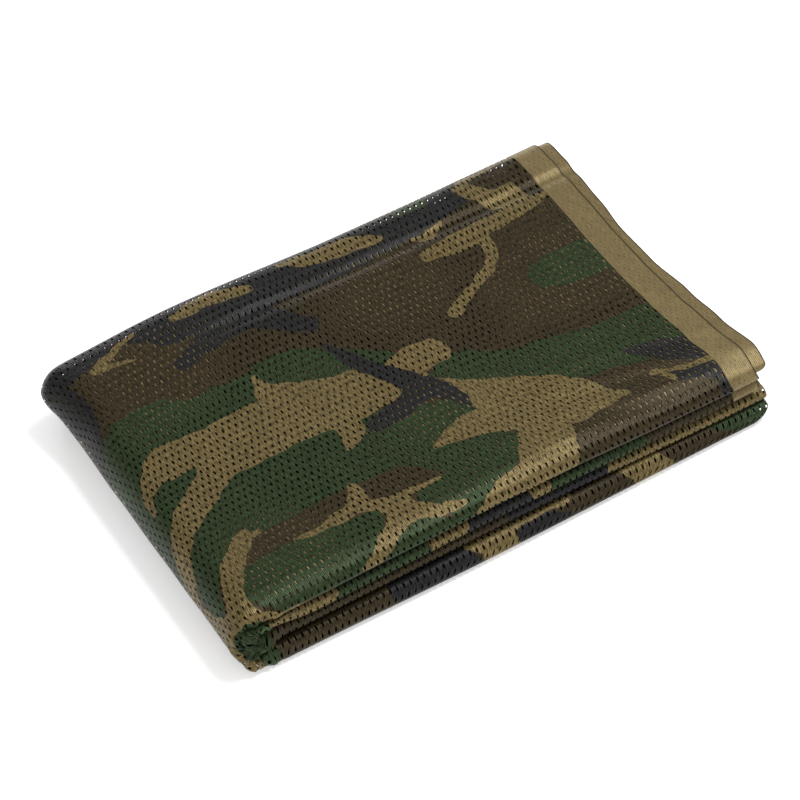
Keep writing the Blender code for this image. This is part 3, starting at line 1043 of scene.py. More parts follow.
@dataclass(frozen=True)
class Lattice:
    """The staggered holes of the knit, and the mesh that is laid around them."""

    pitch: float = 0.00443
    row_pitch: float = 0.00507
    hole_width: float = 0.00138
    hole_length: float = 0.00320
    taper: float = 0.22
    unevenness: float = 0.10
    nudge: float = 0.02
    seed: int = 7

    @staticmethod
    def boundary(inner: int) -> np.ndarray:
        """Places round a cell, anticlockwise from its lower left corner, as shares of it.

        Args:
            inner: How many places each upright side has between its ends.

        Returns:
            One row of two for each place.
        """
        up = [step / (inner + 1) for step in range(1, inner + 1)]
        right = [(1.0, share) for share in up]
        left = [(0.0, share) for share in reversed(up)]
        corners = [(1.0, 1.0), (0.5, 1.0), (0.0, 1.0)]
        return np.array([(0.0, 0.0), (0.5, 0.0), (1.0, 0.0), *right, *corners, *left])

    @staticmethod
    def walls(row: int, columns: int, inner: int) -> np.ndarray:
        """Places on the upright walls between a row's cells.

        Args:
            row: The row; every other one is shifted by half a cell.
            columns: Cells from side to side.
            inner: How many places each wall has between its ends.

        Returns:
            One row of two for each place, in cells.
        """
        at = np.arange(columns + 1.0)
        if row % 2:
            at = np.concatenate([[0.0], np.arange(columns) + 0.5, [float(columns)]])
        heights = row + np.arange(1, inner + 1) / (inner + 1)
        return np.stack(np.meshgrid(at, heights, indexing="ij"), -1).reshape(-1, 2)

    @staticmethod
    def surrounds(row: int, columns: int, inner: int, first_wall: int) -> tuple:
        """The whole cells of a row, each by the vertices round it.

        Args:
            row: The row.
            columns: Cells from side to side.
            inner: How many vertices each wall has between its ends.
            first_wall: The number of the row's first wall vertex.

        Returns:
            The cells' left sides in cells, and rows of vertex numbers in the boundary's order.
        """
        line = 2 * columns + 1
        cells = np.arange(columns - row % 2)
        left = cells + 0.5 * (row % 2)
        wall = cells + row % 2
        low = row * line + np.rint(2 * left).astype(int)
        high = low + line
        going_up = [first_wall + (wall + 1) * inner + step for step in range(inner)]
        going_down = [first_wall + wall * inner + step for step in reversed(range(inner))]
        return left, np.stack([low, low + 1, low + 2, *going_up, high + 2, high + 1, high, *going_down], 1)

    def rings(self, left: np.ndarray, row: int, scale: np.ndarray, inner: int,
              rng: np.random.Generator) -> np.ndarray:
        """Places round the holes of a row.

        Args:
            left: The left sides of the cells, in cells.
            row: The row.
            scale: The holes' sizes, as shares of the full one.
            inner: How many places each wall of a cell has between its ends.
            rng: The source of their unevenness.

        Returns:
            For each hole, its rows of two, in cells.
        """
        count = len(left)
        cell = self.boundary(inner) - 0.5
        turn = np.arctan2(cell[:, 1], cell[:, 0])
        size = scale[:, None] * (1.0 + self.unevenness * rng.uniform(-1, 1, (count, 1)))
        half_width = 0.5 * self.hole_width / self.pitch * size * (1.0 - self.taper * np.sin(turn))
        half_length = 0.5 * self.hole_length / self.row_pitch * size
        nudge = self.nudge * rng.uniform(-1, 1, (count, 2))
        across = left[:, None] + 0.5 + nudge[:, :1] + half_width * np.cos(turn)
        return np.stack([across, row + 0.5 + nudge[:, 1:] + half_length * np.sin(turn)], -1)

    def lay(self, columns: int, rows: int, sides: int, hole_scale: Callable) -> tuple:
        """Lay a rectangle of the knit, with a hole in each whole cell.

        Args:
            columns: Cells from side to side.
            rows: Rows of cells; every other row is shifted by half a cell.
            sides: Sides of each hole, 8 or 12.
            hole_scale: Gives each hole's size as a share of the full one, from its column
                and row, and 0 where the cell is closed.

        Returns:
            Vertex places in cells, and the faces as rows of four vertex numbers.
        """
        line = 2 * columns + 1
        # A cell has three places below and three above, and the rest on its two walls
        inner = (sides - 6) // 2
        places = [np.stack(np.meshgrid(0.5 * np.arange(line), np.arange(rows + 1.0)), -1).reshape(-1, 2)]
        count = line * (rows + 1)
        faces = []
        rng = np.random.default_rng(self.seed)
        for row in range(rows):
            first_wall = count
            places.append(self.walls(row, columns, inner))
            count += len(places[-1])
            left, around = self.surrounds(row, columns, inner, first_wall)
            scale = hole_scale(left + 0.5, np.full(left.shape, row + 0.5))
            pierced = scale > 0.0
            if pierced.any():
                rings = self.rings(left[pierced], row, scale[pierced], inner, rng)
                ring = count + np.arange(rings.shape[0] * sides).reshape(-1, sides)
                places.append(rings.reshape(-1, 2))
                count += ring.size
                outer = around[pierced]
                for corner in range(sides):
                    pair = [corner, (corner + 1) % sides]
                    faces.append(np.concatenate([outer[:, pair], ring[:, pair[::-1]]], 1))
            if not pierced.all():
                faces += self.closed(around[~pierced], inner)
            if row % 2:
                for at_left in (True, False):
                    faces.append(self.half_cell(row, at_left, columns, first_wall, inner))
        return np.concatenate(places), np.concatenate(faces)

    @staticmethod
    def closed(around: np.ndarray, inner: int) -> list:
        """Faces of cells with no hole: strips, split so that neighbours still meet.

        Args:
            around: The vertices round each cell, in the boundary's order.
            inner: How many of them each wall has between its ends.

        Returns:
            Arrays of faces, as rows of four vertex numbers, the last one repeated in a triangle.
        """
        sides = around.shape[1]
        left = [around[:, number % sides] for number in range(sides, sides - inner - 2, -1)]
        right = [around[:, 2 + number] for number in range(inner + 2)]
        bottom, top = around[:, 1], around[:, 4 + inner]
        strips = [(left[k], right[k], right[k + 1], left[k + 1]) for k in range(1, inner)]
        triangles = [
            (left[0], bottom, left[1]),
            (bottom, right[0], right[1]),
            (bottom, right[1], left[1]),
            (top, left[-1], left[inner]),
            (right[-1], top, right[inner]),
            (top, left[inner], right[inner]),
        ]
        return [np.stack(strip, 1) for strip in strips] + [
            np.stack([*triangle, triangle[-1]], 1) for triangle in triangles
        ]

    @staticmethod
    def half_cell(row: int, at_left: bool, columns: int, first_wall: int, inner: int) -> np.ndarray:
        """Faces of the half cell at one end of a shifted row.

        Args:
            row: The row.
            at_left: Whether it is the left end.
            columns: Cells from side to side.
            first_wall: The number of the row's first wall vertex.
            inner: How many vertices each wall has between its ends.

        Returns:
            Rows of four vertex numbers.
        """
        line = 2 * columns + 1
        low = row * line + (0 if at_left else line - 2)
        wall = first_wall + (0 if at_left else columns * inner)
        left = [low, *range(wall, wall + inner), low + line]
        right = [low + 1, *range(wall + inner, wall + 2 * inner), low + 1 + line]
        return np.array([[left[k], right[k], right[k + 1], left[k + 1]] for k in range(inner + 1)])

    @staticmethod
    def plain(across: np.ndarray, along: np.ndarray) -> tuple:
        """A plain rectangle of cloth.

        Args:
            across: Where its columns of vertices lie.
            along: Where its rows of vertices lie.

        Returns:
            Vertex places, and the faces as rows of four vertex numbers.
        """
        wide = len(across)
        corner = (np.arange(len(along) - 1)[:, None] * wide + np.arange(wide - 1)[None, :]).ravel()
        faces = np.stack([corner, corner + 1, corner + wide + 1, corner + wide], 1)
        return np.stack(np.meshgrid(across, along), -1).reshape(-1, 2), faces


class Slip(NamedTuple):
    """A patch where the knit has slid: its middle, its radius and its slide, in metres."""

    x: float
    y: float
    radius: float
    right: float
    forward: float


@dataclass(frozen=True)
class Grain:
    """How the knit's rows droop and its columns lean as the cloth lies on the top."""

    droop: float = 0.015
    lean: float = 0.010
    right: float = 0.0
    forward: float = 0.0
    slips: tuple = ()
    droop_x: Ramp = Ramp(-0.150, 0.300)
    droop_front: Ramp = Ramp(-0.040, -0.050)
    droop_less: float = 0.55
    start_rows: Ramp = Ramp(0.0, 0.075)
    end_rows: Ramp = Ramp(0.0, 0.030)
    lean_low: Ramp = Ramp(-0.050, 0.110)
    lean_back: Ramp = Ramp(0.055, 0.060)
    lean_back_share: float = 0.65
    lean_left: Ramp = Ramp(-0.190, 0.080)
    lean_right: Ramp = Ramp(0.148, -0.070)

    def drift(self, x: np.ndarray, y: np.ndarray, to_end: np.ndarray, from_start: np.ndarray) -> tuple:
        """How far each place of the knit has slid on the cloth's rectangle.

        Args:
            x: Places along the pack.
            y: Places from front to back.
            to_end: Distances to the rectangle's last row.
            from_start: Distances from its first row.

        Returns:
            The slides to the right and to the front, in metres.
        """
        middle = self.start_rows.at(from_start) * self.end_rows.at(to_end)
        front = 1.0 - self.droop_less * self.droop_front.at(y)
        column = mix(self.lean_low.at(y), self.lean_back.at(y), self.lean_back_share)
        inside = self.lean_left.at(x) * self.lean_right.at(x)
        right = self.lean * column * inside + self.right * middle
        forward = self.droop * self.droop_x.at(x) * middle * front + self.forward * middle
        for slip in self.slips:
            near = Hill(slip.x, slip.radius).at(x) * Hill(slip.y, slip.radius).at(y) * middle
            right, forward = right + slip.right * near, forward + slip.forward * near
        return right, forward


@dataclass(frozen=True)
class Nodes:
    """The nodes of one material, each added with its values and its links in one go."""

    tree: bpy.types.NodeTree

    def fill(self, node: bpy.types.Node, inputs: dict) -> None:
        """Give a node its inputs.

        Args:
            node: The node.
            inputs: A value, or a socket to link, for each input by its name or number.
        """
        for key, value in inputs.items():
            if isinstance(value, Socket):
                self.tree.links.new(value, node.inputs[key])
            else:
                node.inputs[key].default_value = value

    def add(self, kind: str, output: str, inputs: dict, **settings: str) -> Socket:
        """Add a node.

        Args:
            kind: The node's kind, as its type says after ShaderNode.
            output: The output that is used.
            inputs: A value, or a socket to link, for each input by its name or number.
            settings: The node's own settings.

        Returns:
            The output's socket.
        """
        node = self.tree.nodes.new("ShaderNode" + kind)
        for name, setting in settings.items():
            setattr(node, name, setting)
        self.fill(node, inputs)
        return node.outputs[output]

    def attribute(self, name: str, output: str) -> Socket:
        """Read one of the mesh's own layers."""
        return self.add("Attribute", output, {}, attribute_name=name)

    def noise(self, place: Socket, scale: tuple, detail: float) -> Socket:
        """Soft noise over the flat cloth.

        Args:
            place: The flat place.
            scale: How often it changes in a metre, across, along and up.
            detail: How fine it is.

        Returns:
            The socket with the noise.
        """
        spread = self.add("VectorMath", "Vector", {0: place, 1: scale}, operation="MULTIPLY")
        return self.add("TexNoise", "Fac", {"Vector": spread, "Scale": 1.0, "Detail": detail})

    def ranged(self, value: Socket, before: tuple, after: tuple) -> Socket:
        """Move a value from one range to another, held within it.

        Args:
            value: The value.
            before: The first range's ends.
            after: The second range's ends.

        Returns:
            The socket with the result.
        """
        ends = {"From Min": before[0], "From Max": before[1], "To Min": after[0], "To Max": after[1]}
        return self.add("MapRange", "Result", {"Value": value, **ends})

    def away_from(self, place: Socket, line: float) -> Socket:
        """How far each flat place lies from a line along the cloth.

        Args:
            place: The flat place.
            line: The line's place across the cloth.

        Returns:
            The socket with the distance.
        """
        across = self.add("SeparateXYZ", "X", {"Vector": place})
        gone = self.add("Math", "Value", {0: across, 1: line}, operation="SUBTRACT")
        return self.add("Math", "Value", {0: gone}, operation="ABSOLUTE")

    def blend(self, first: Socket | float, second: Socket, share: Socket) -> Socket:
        """Go from one value to another by a share."""
        return self.add("Mix", "Result", {"Factor": share, "A": first, "B": second})

    def over(self, under: Socket | tuple, colour: tuple, share: Socket) -> Socket:
        """Lay a colour over another by a share."""
        inputs = {"Factor": share, "A": under, "B": (*colour, 1.0)}
        return self.add("Mix", "Result", inputs, data_type="RGBA")


@dataclass(frozen=True)
class Finish:
    """The look of one side of the cloth."""

    name: str
    brown: tuple = (0.0320, 0.0240, 0.0120)
    green: tuple = (0.0215, 0.0340, 0.0140)
    sand: tuple = (0.117, 0.087, 0.036)
    black: tuple = (0.0165, 0.0160, 0.0165)
    plain: tuple = (0.157, 0.119, 0.055)
    # Painted shade, dark: a shadow line along the selvedge's cut edge, and the shade in its small dents
    painted_shade_colour: tuple = (0.022, 0.016, 0.009)
    edge_shadow_width: float = 0.0009
    edge_shadow_strength: float = 0.85
    edge_blur: float = 0.00025
    ink_blur: float = 0.16
    strength: float = 1.0
    roughness: float = 0.34
    gloss: float = 0.10
    tinted_gloss: float = 0.30
    rib_pitch: float = 0.00111
    rib_height: float = 0.00012
    rib_bump: float = 0.7
    rib_sway: float = 0.6
    # Ribs are painted lighter on their crests and darker in their troughs: painted shade
    rib_shade_contrast: float = 0.14
    thread_scale: tuple = (950.0, 330.0, 1.0)
    thread_detail: float = 2.0
    thread_contrast: float = 0.80
    plain_scale: tuple = (1000.0, 160.0, 1.0)
    plain_detail: float = 1.0
    plain_contrast: float = 0.13
    dent_pitch: float = 0.0026
    dent_turn: float = 0.25 * math.pi
    dent_form: tuple = (1.0, 0.72, 1.0)
    dent_unevenness: float = 0.15
    dent_edge: tuple = (0.11, 0.19)
    dent_shade_contrast: float = 0.55
    patch_scale: tuple = (38.0, 38.0, 1.0)
    patch_detail: float = 3.0
    patch_contrast: float = 0.10
    noise_spread: float = 0.25
    rib_spread: float = 0.50

    def build(self, selvedge_at: float | None, selvedge_width: float) -> bpy.types.Material:
        """Make the material.

        Args:
            selvedge_at: The selvedge's place across the flat cloth, or None without one.
            selvedge_width: The width of its plain strip.

        Returns:
            The material, with its colours laid by the print's distances.
        """
        material = bpy.data.materials.new(self.name)
        material.use_nodes = True
        nodes = Nodes(material.node_tree)
        flat = nodes.attribute("flat", "Vector")
        colour = (*self.brown, 1.0)
        for ink, value in ((GREEN, self.green), (SAND, self.sand), (BLACK, self.black)):
            distance = nodes.attribute(ink.value, "Fac")
            inside = nodes.ranged(distance, (self.ink_blur, -self.ink_blur), (0.0, self.strength))
            colour = nodes.over(colour, value, inside)
        threads = nodes.noise(flat, self.thread_scale, self.thread_detail)
        if selvedge_at is not None:
            colour, threads = self.selvedge(nodes, flat, colour, threads, selvedge_at, selvedge_width)
        patches = nodes.noise(flat, self.patch_scale, self.patch_detail)
        ribs = nodes.add("TexWave", "Fac", {"Vector": flat, "Scale": WAVE_LENGTH / self.rib_pitch,
                                            "Distortion": self.rib_sway})
        # Threads and patches vary the tone; the ribs add painted shade, darker in their troughs
        for pattern, spread, contrast in (
            (threads, self.noise_spread, self.thread_contrast),
            (patches, self.noise_spread, self.patch_contrast),
            (ribs, self.rib_spread, self.rib_shade_contrast),
        ):
            tone_and_rib_shade = nodes.ranged(pattern, (0.5 - spread, 0.5 + spread), (1.0 - contrast, 1.0 + contrast))
            colour = nodes.add("VectorMath", "Vector", {0: colour, "Scale": tone_and_rib_shade}, operation="SCALE")
        bump = {"Strength": self.rib_bump, "Distance": self.rib_height, "Height": ribs}
        nodes.fill(material.node_tree.nodes["Principled BSDF"], {
            "Base Color": colour,
            "Normal": nodes.add("Bump", "Normal", bump),
            "Roughness": self.roughness,
            "Metallic": self.tinted_gloss,
            "Specular IOR Level": self.gloss,
        })
        return material

    def selvedge(self, nodes: Nodes, flat: Socket, colour: Socket, threads: Socket, at: float,
                 width: float) -> tuple:
        """Lay the plain strip over the print, with painted shade in its dents and along its cut edge.

        Args:
            nodes: The material's nodes.
            flat: The flat place.
            colour: The print's colour.
            threads: The print's threads.
            at: The selvedge's place across the flat cloth.
            width: The strip's width.

        Returns:
            The sockets with the colour and with the threads.
        """
        within, blur = nodes.away_from(flat, at), self.edge_blur
        plain = nodes.ranged(within, (width + blur, width - blur), (0.0, 1.0))
        colour = nodes.over(colour, self.plain, plain)
        # The small dents are painted darker: painted shade in them
        dents = nodes.ranged(self.dents(nodes, flat), self.dent_edge, (self.dent_shade_contrast, 0.0))
        colour = nodes.over(colour, self.painted_shade_colour, nodes.blend(0.0, dents, plain))
        # A painted shadow line along the cut edge
        ends = (self.edge_shadow_width + blur, self.edge_shadow_width - blur)
        edge = nodes.ranged(within, ends, (0.0, self.edge_shadow_strength))
        colour = nodes.over(colour, self.painted_shade_colour, edge)
        calm = (0.5 - self.plain_contrast, 0.5 + self.plain_contrast)
        smoother = nodes.ranged(nodes.noise(flat, self.plain_scale, self.plain_detail), (0.0, 1.0), calm)
        return colour, nodes.blend(threads, smoother, plain)

    def dents(self, nodes: Nodes, flat: Socket) -> Socket:
        """Distances from the small dents that the knit leaves in the selvedge.

        Args:
            nodes: The material's nodes.
            flat: The flat place.

        Returns:
            The socket with the distance, as a share of the dents' pitch.
        """
        turn = {"Vector": flat, "Rotation": (0.0, 0.0, self.dent_turn), "Scale": self.dent_form}
        turned = nodes.add("Mapping", "Vector", turn)
        cells = {"Vector": turned, "Scale": 1.0 / self.dent_pitch, "Randomness": self.dent_unevenness}
        return nodes.add("TexVoronoi", "Distance", cells)


@dataclass
class ClothPiece:
    """One rectangle of the flat cloth, carried through the folds."""

    name: str
    across: tuple
    along: tuple
    strokes: tuple
    finish: Finish
    knit: Knit = Knit.OPEN
    nestled: bool = False
    roll: str = ""
    lower_strokes: tuple = ()
    grain: Grain = Grain(droop=0.0, lean=0.0)
    crumple: Crumple | None = None
    shut: tuple = (0.0, 0.0)
    selvedge_at: float | None = None
    selvedge_width: float = 0.0185
    large_holes_width: float = 0.0044
    large_hole: float = 1.25

    def build(self, pack: FoldedPack, relief: Relief, lattice: Lattice,
              printed: Print) -> bpy.types.Object:
        """Make the piece.

        Args:
            pack: The folds.
            relief: The soft forms of the top and front.
            lattice: The knit.
            printed: The print.

        Returns:
            The finished piece.
        """
        flat, faces = self.flat(lattice)
        slid = self.slide(flat, pack)
        points, p, q = pack.place(slid[:, 0], slid[:, 1], relief, self.nestled)
        if self.roll:
            p, q = points[:, 0] / MM, (flat[:, 1] - pack.start_of(self.roll)) / MM
        if self.crumple:
            points = self.crumple.bunch(points)
        piece = self.mesh(points, faces)
        inks = printed.lay(self.strokes, p, q)
        if self.lower_strokes:
            lower = printed.lay(self.lower_strokes, p, q)
            below = pack.across_place(flat[:, 0])[1] < 0.0
            inks = {ink: np.where(below, lower[ink], inks[ink]) for ink in inks}
        for ink, distance in inks.items():
            self.store(piece, ink.value, distance)
        layer = piece.data.attributes.new("flat", "FLOAT_VECTOR", "POINT")
        spread = np.column_stack([flat, np.zeros(len(flat))])
        layer.data.foreach_set("vector", spread.astype(np.float32).ravel())
        self.dress(piece, flat)
        return piece

    def flat(self, lattice: Lattice) -> tuple:
        """The piece laid flat.

        Args:
            lattice: The knit.

        Returns:
            Places on the flat cloth, and faces.
        """
        wide, long = self.flat_size()
        columns, rows = round(wide / lattice.pitch), round(long / lattice.row_pitch)
        cell = np.array([wide / columns, long / rows])
        places, faces = lattice.lay(columns, rows, self.knit.value, partial(self.hole_scale, cell))
        return np.array([self.across[0], self.along[0]]) + places * cell, faces

    def slide(self, flat: np.ndarray, pack: FoldedPack) -> np.ndarray:
        """Slide the knit on the cloth by its grain.

        Args:
            flat: Places on the flat cloth.
            pack: The folds.

        Returns:
            The places once slid.
        """
        if self.nestled:
            x = pack.fold_x + flat[:, 0] - pack.start_of("upper inner panel")
            to_right = 1.0
        else:
            x = pack.fold_x + pack.panel_length - flat[:, 0]
            to_right = -1.0
        y = pack.end_of("first pass") + pack.front_y - flat[:, 1]
        rows_left, rows_done = self.along[1] - flat[:, 1], flat[:, 1] - self.along[0]
        right, forward = self.grain.drift(x, y, rows_left, rows_done)
        return flat + np.column_stack([to_right * right, forward])

    def hole_scale(self, cell: np.ndarray, column: np.ndarray, row: np.ndarray) -> np.ndarray:
        """Each hole's size: none in the selvedge or where the cloth is shut, large by the selvedge.

        Args:
            cell: A cell's width and length.
            column: The holes' middles across the piece, in cells.
            row: The holes' middles along it, in cells.

        Returns:
            The sizes, as shares of the full one.
        """
        along = self.along[0] + row * cell[1]
        found = np.where((along > self.shut[0]) & (along < self.shut[1]), 0.0, 1.0)
        if self.selvedge_at is None:
            return found
        inside = np.abs(self.across[0] + column * cell[0] - self.selvedge_at)
        large = inside < self.selvedge_width + self.large_holes_width
        found = np.where(large, self.large_hole * found, found)
        return np.where(inside < self.selvedge_width, 0.0, found)

    def mesh(self, points: np.ndarray, faces: np.ndarray) -> bpy.types.Object:
        """Make an object from points and faces.

        Args:
            points: One row of three for each vertex.
            faces: Rows of four vertex numbers, the last one repeated in a triangle.

        Returns:
            The object, linked to the scene.
        """
        triangle = faces[:, 2] == faces[:, 3]
        sizes = np.where(triangle, 3, 4)
        keep = np.ones(faces.shape, bool)
        keep[triangle, 3] = False
        mesh = bpy.data.meshes.new(self.name)
        mesh.vertices.add(len(points))
        mesh.vertices.foreach_set("co", points.astype(np.float32).ravel())
        mesh.loops.add(int(sizes.sum()))
        mesh.loops.foreach_set("vertex_index", faces[keep].astype(np.int32))
        mesh.polygons.add(len(faces))
        starts = np.concatenate([[0], np.cumsum(sizes)[:-1]])
        mesh.polygons.foreach_set("loop_start", starts.astype(np.int32))
        mesh.polygons.foreach_set("use_smooth", np.ones(len(faces), bool))
        mesh.update(calc_edges=True)
        mesh.validate()
        piece = bpy.data.objects.new(self.name, mesh)
        bpy.context.scene.collection.objects.link(piece)
        return piece

    @staticmethod
    def store(piece: bpy.types.Object, name: str, values: np.ndarray) -> None:
        """Keep one number for each vertex."""
        layer = piece.data.attributes.new(name, "FLOAT", "POINT")
        layer.data.foreach_set("value", values.astype(np.float32))

    def flat_size(self) -> tuple:
        """The piece's flat width and length."""
        return self.across[1] - self.across[0], self.along[1] - self.along[0]

    def flat_area(self) -> float:
        """The piece's flat area."""
        wide, long = self.flat_size()
        return wide * long

    def dress(self, piece: bpy.types.Object, flat: np.ndarray) -> None:
        """Give the piece its material, its flat map and its place in the frame.

        Args:
            piece: The object.
            flat: The vertices' places on the flat cloth.
        """
        piece.data.materials.append(self.finish.build(self.selvedge_at, self.selvedge_width))
        low, high = flat.min(axis=0), flat.max(axis=0)
        corners = np.empty(len(piece.data.loops), np.int32)
        piece.data.loops.foreach_get("vertex_index", corners)
        shares = ((flat - low) / (high - low))[corners]
        layer = piece.data.uv_layers.new(name=UV_MAP)
        layer.data.foreach_set("uv", shares.astype(np.float32).ravel())
        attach(piece, BODY)
        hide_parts(NODE)
        self.flat_size()
        self.flat_area()
        log.info("%s: %d faces", self.name, len(piece.data.polygons))


@dataclass
class InnerLayers(ClothPiece):
    """The rest of the cloth, between the layers that show."""

    step: float = 0.006
    covered: tuple = ()

    def flat(self, lattice: Lattice) -> tuple:
        """The rest of the cloth laid flat, without the rectangles that other pieces are.

        Args:
            lattice: The knit.

        Returns:
            Places on the flat cloth, and faces.
        """
        us = self.lines([value for across, _ in self.covered for value in across], self.across)
        vs = self.lines([value for _, along in self.covered for value in along], self.along)
        places, faces = lattice.plain(us, vs)
        u, v = places[faces].mean(axis=1).T
        keep = np.ones(len(faces), bool)
        for across, along in self.covered:
            keep &= ~((u > across[0]) & (u < across[1]) & (v > along[0]) & (v < along[1]))
        used, numbered = np.unique(faces[keep], return_inverse=True)
        return places[used], numbered.reshape(-1, 4)

    def lines(self, stops: list, ends: tuple) -> np.ndarray:
        """Grid lines through the stops, no further apart than the step.

        Args:
            stops: Where a line has to lie.
            ends: The first and the last line.

        Returns:
            The lines' places.
        """
        marks = sorted({*ends, *stops})
        found = [np.linspace(a, b, max(1, math.ceil((b - a) / self.step)) + 1)[:-1]
                 for a, b in zip(marks, marks[1:])]
        return np.concatenate([*found, [marks[-1]]])

    def flat_area(self) -> float:
        """The area that is left once the other pieces are taken out."""
        wide, long = self.flat_size()
        return wide * long - sum((a[1] - a[0]) * (b[1] - b[0]) for a, b in self.covered)


# The second layer's knit lies under the top one's, but for the patches where it has slipped
UNDER_GRAIN = Grain(
    right=0.0002,
    forward=-0.0003,
    slips=(
        Slip(x=0.030, y=0.050, radius=0.050, right=0.0023, forward=0.0),
        Slip(x=-0.145, y=0.085, radius=0.045, right=0.0022, forward=0.0005),
        Slip(x=-0.135, y=-0.085, radius=0.038, right=-0.0020, forward=0.0),
        Slip(x=0.000, y=-0.025, radius=0.028, right=0.0010, forward=0.0018),
    ),
)
# The top layer and the lowest roll only gather where the inner rolls bunch; the lowest roll is
# also plumper along the whole of its upper side
GATHERED = Crumple(stretch=0.0, swell=0.0, push=0.0, pleat=0.0012, lift=0.0, highest=1.0)
PLUMP = replace(GATHERED, plump=0.0025)


@dataclass
class Net:
    """The whole net: the layers that show, and the ones between them."""

    pack: FoldedPack
    relief: Relief
    lattice: Lattice
    printed: Print
    tuck: float = 0.012
    fold_overrun: float = 0.008
    roll_overruns: tuple = (0.026, 0.020)
    shut_overruns: tuple = (0.006, 0.0042)
    hidden_print: tuple = ((-1400.0, -860.0), (200.0, 130.0))
    underside_print: tuple = ((-190.0, -260.0), (190.0, -8.0))
    underside_band: Stroke = Stroke(BROWN, ((-260, 10, 16), (260, 10, 16)))
    face: Finish = Finish("printed face")
    reverse: Finish = Finish("pale reverse", brown=(0.125, 0.096, 0.047), strength=0.30)

    def pieces(self) -> list:
        """The pieces of the cloth, each a rectangle of it.

        Returns:
            The pieces, from the top down.
        """
        pack = self.pack
        front = (0.0, pack.end_of("outer roll") + self.tuck)
        fold = pack.end_of("outer end fold")
        halved = pack.end_of("halving fold") + self.fold_overrun
        edge = pack.end_of("upper inner panel")
        rolls = (pack.start_of("inner roll") - self.roll_overruns[0],
                 pack.end_of("inner roll") + self.roll_overruns[1])
        bottom = pack.start_of("outer roll")
        shut = (bottom - self.shut_overruns[0], bottom + self.shut_overruns[1])
        hidden = self.printed.scattered(*self.hidden_print)
        lowest = (*self.printed.scattered(*self.underside_print), self.underside_band, *LOWEST_ROLL_PRINT)
        shown = (
            ClothPiece("top_layer", (0.0, fold), front, TOP_PRINT, self.face,
                       grain=Grain(), crumple=GATHERED, selvedge_at=0.0),
            ClothPiece("underside", (fold, halved), front, lowest, self.face, Knit.LIGHT,
                       roll="outer roll", crumple=PLUMP, shut=shut),
            ClothPiece("second_layer", (pack.start_of("inner end fold"), edge), front, hidden,
                       self.reverse, Knit.LIGHT, nestled=True, grain=UNDER_GRAIN, selvedge_at=edge),
            ClothPiece("front_rolls", (0.0, halved), rolls, SECOND_ROLL_PRINT, self.face,
                       roll="inner roll", lower_strokes=THIRD_ROLL_PRINT, crumple=Crumple(),
                       selvedge_at=0.0),
        )
        inner = InnerLayers("inner_layers", (0.0, edge), (0.0, pack.end_of("last pass")), hidden,
                            self.face, Knit.CLOSED,
                            covered=tuple((piece.across, piece.along) for piece in shown))
        return [*shown, inner]

    def build(self) -> list:
        """Make every piece and return the objects."""
        return [piece.build(self.pack, self.relief, self.lattice, self.printed) for piece in self.pieces()]


@dataclass(frozen=True)
class Lamp:
    """One soft lamp: where it stands, how large it is and how strong."""

    name: str
    location: tuple
    size: float
    power: float

    def build(self, target: Vector) -> None:
        """Make the lamp and turn it to the target.

        Args:
            target: Where it shines.
        """
        data = bpy.data.lights.new(self.name, "AREA")
        data.energy, data.size = self.power, self.size
        lamp = bpy.data.objects.new(self.name, data)
        lamp.location = self.location
        lamp.rotation_euler = (target - Vector(self.location)).to_track_quat("-Z", "Y").to_euler()
        bpy.context.scene.collection.objects.link(lamp)


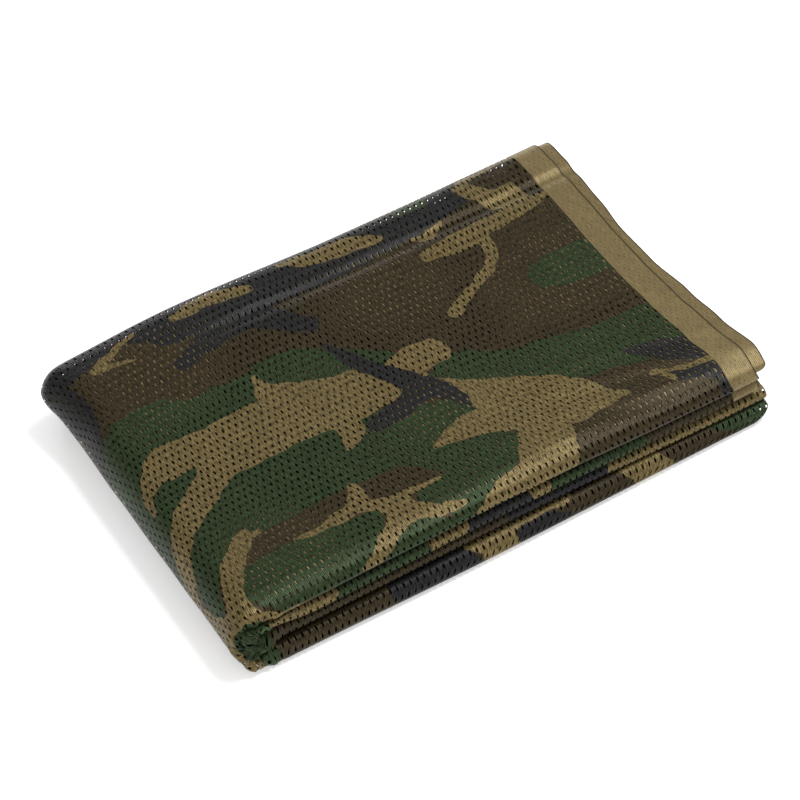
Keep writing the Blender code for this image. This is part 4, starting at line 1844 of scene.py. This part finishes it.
@dataclass
class Studio:
    """The floor, the light and the camera."""

    target: Vector = Vector((-0.0066, -0.0045, 0.025))
    azimuth: float = -32.95
    elevation: float = 49.4
    distance: float = 2.22
    lens: float = 166.5
    sensor: float = 36.0
    clip_start: float = 0.05
    floor_size: float = 6.0
    floor_colour: tuple = (0.90, 0.90, 0.90, 1.0)
    floor_roughness: float = 0.9
    floor_glow: float = 0.38
    world: tuple = (1.0, 1.0, 1.0, 1.0)
    world_strength: float = 0.60
    lamps: tuple = (
        Lamp("key", (0.80, -0.12, 2.02), 0.7, 36.0),
        Lamp("fill", (-1.6, -1.2, 1.2), 1.6, 8.0),
        Lamp("front light", (0.1, -2.2, 0.8), 0.9, 7.0),
        Lamp("back light", (0.70, 2.10, 0.62), 0.8, 10.0),
    )

    def build(self) -> None:
        """Make the floor, the world, the lamps and the camera."""
        self.floor()
        world = bpy.data.worlds.new("soft light")
        world.use_nodes = True
        background = world.node_tree.nodes["Background"]
        background.inputs["Color"].default_value = self.world
        background.inputs["Strength"].default_value = self.world_strength
        bpy.context.scene.world = world
        bpy.context.scene.view_settings.view_transform = "Standard"
        for lamp in self.lamps:
            lamp.build(self.target)
        self.camera()

    def floor(self) -> None:
        """Make the floor, with a little light of its own."""
        half = 0.5 * self.floor_size
        mesh = bpy.data.meshes.new("floor")
        corners = [(-half, -half, 0.0), (half, -half, 0.0), (half, half, 0.0), (-half, half, 0.0)]
        mesh.from_pydata(corners, [], [(0, 1, 2, 3)])
        floor = bpy.data.objects.new("floor", mesh)
        bpy.context.scene.collection.objects.link(floor)
        material = bpy.data.materials.new("pale floor")
        material.use_nodes = True
        shader = material.node_tree.nodes["Principled BSDF"]
        shader.inputs["Base Color"].default_value = self.floor_colour
        shader.inputs["Roughness"].default_value = self.floor_roughness
        shader.inputs["Emission Color"].default_value = self.floor_colour
        shader.inputs["Emission Strength"].default_value = self.floor_glow
        mesh.materials.append(material)

    def camera(self) -> None:
        """Make the camera and look through it."""
        data = bpy.data.cameras.new("camera")
        data.lens, data.sensor_width, data.clip_start = self.lens, self.sensor, self.clip_start
        camera = bpy.data.objects.new("camera", data)
        turn, rise = math.radians(self.azimuth), math.radians(self.elevation)
        away = Vector((math.sin(turn) * math.cos(rise), -math.cos(turn) * math.cos(rise), math.sin(rise)))
        camera.location = self.target + self.distance * away
        camera.rotation_euler = (-away).to_track_quat("-Z", "Y").to_euler()
        bpy.context.scene.collection.objects.link(camera)
        bpy.context.scene.camera = camera


def main() -> None:
    """Build the net and the studio in order, and note the sizes."""
    logging.basicConfig(level=logging.INFO, format="%(name)s: %(message)s")
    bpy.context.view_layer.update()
    Studio().build()
    relief = Relief()
    pack = FoldedPack().centred_on(*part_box(NODE), relief)
    pieces = Net(pack, relief, Lattice(), Print()).build()
    log.info("%d pieces", len(pieces))


if __name__ == "__main__":
    main()
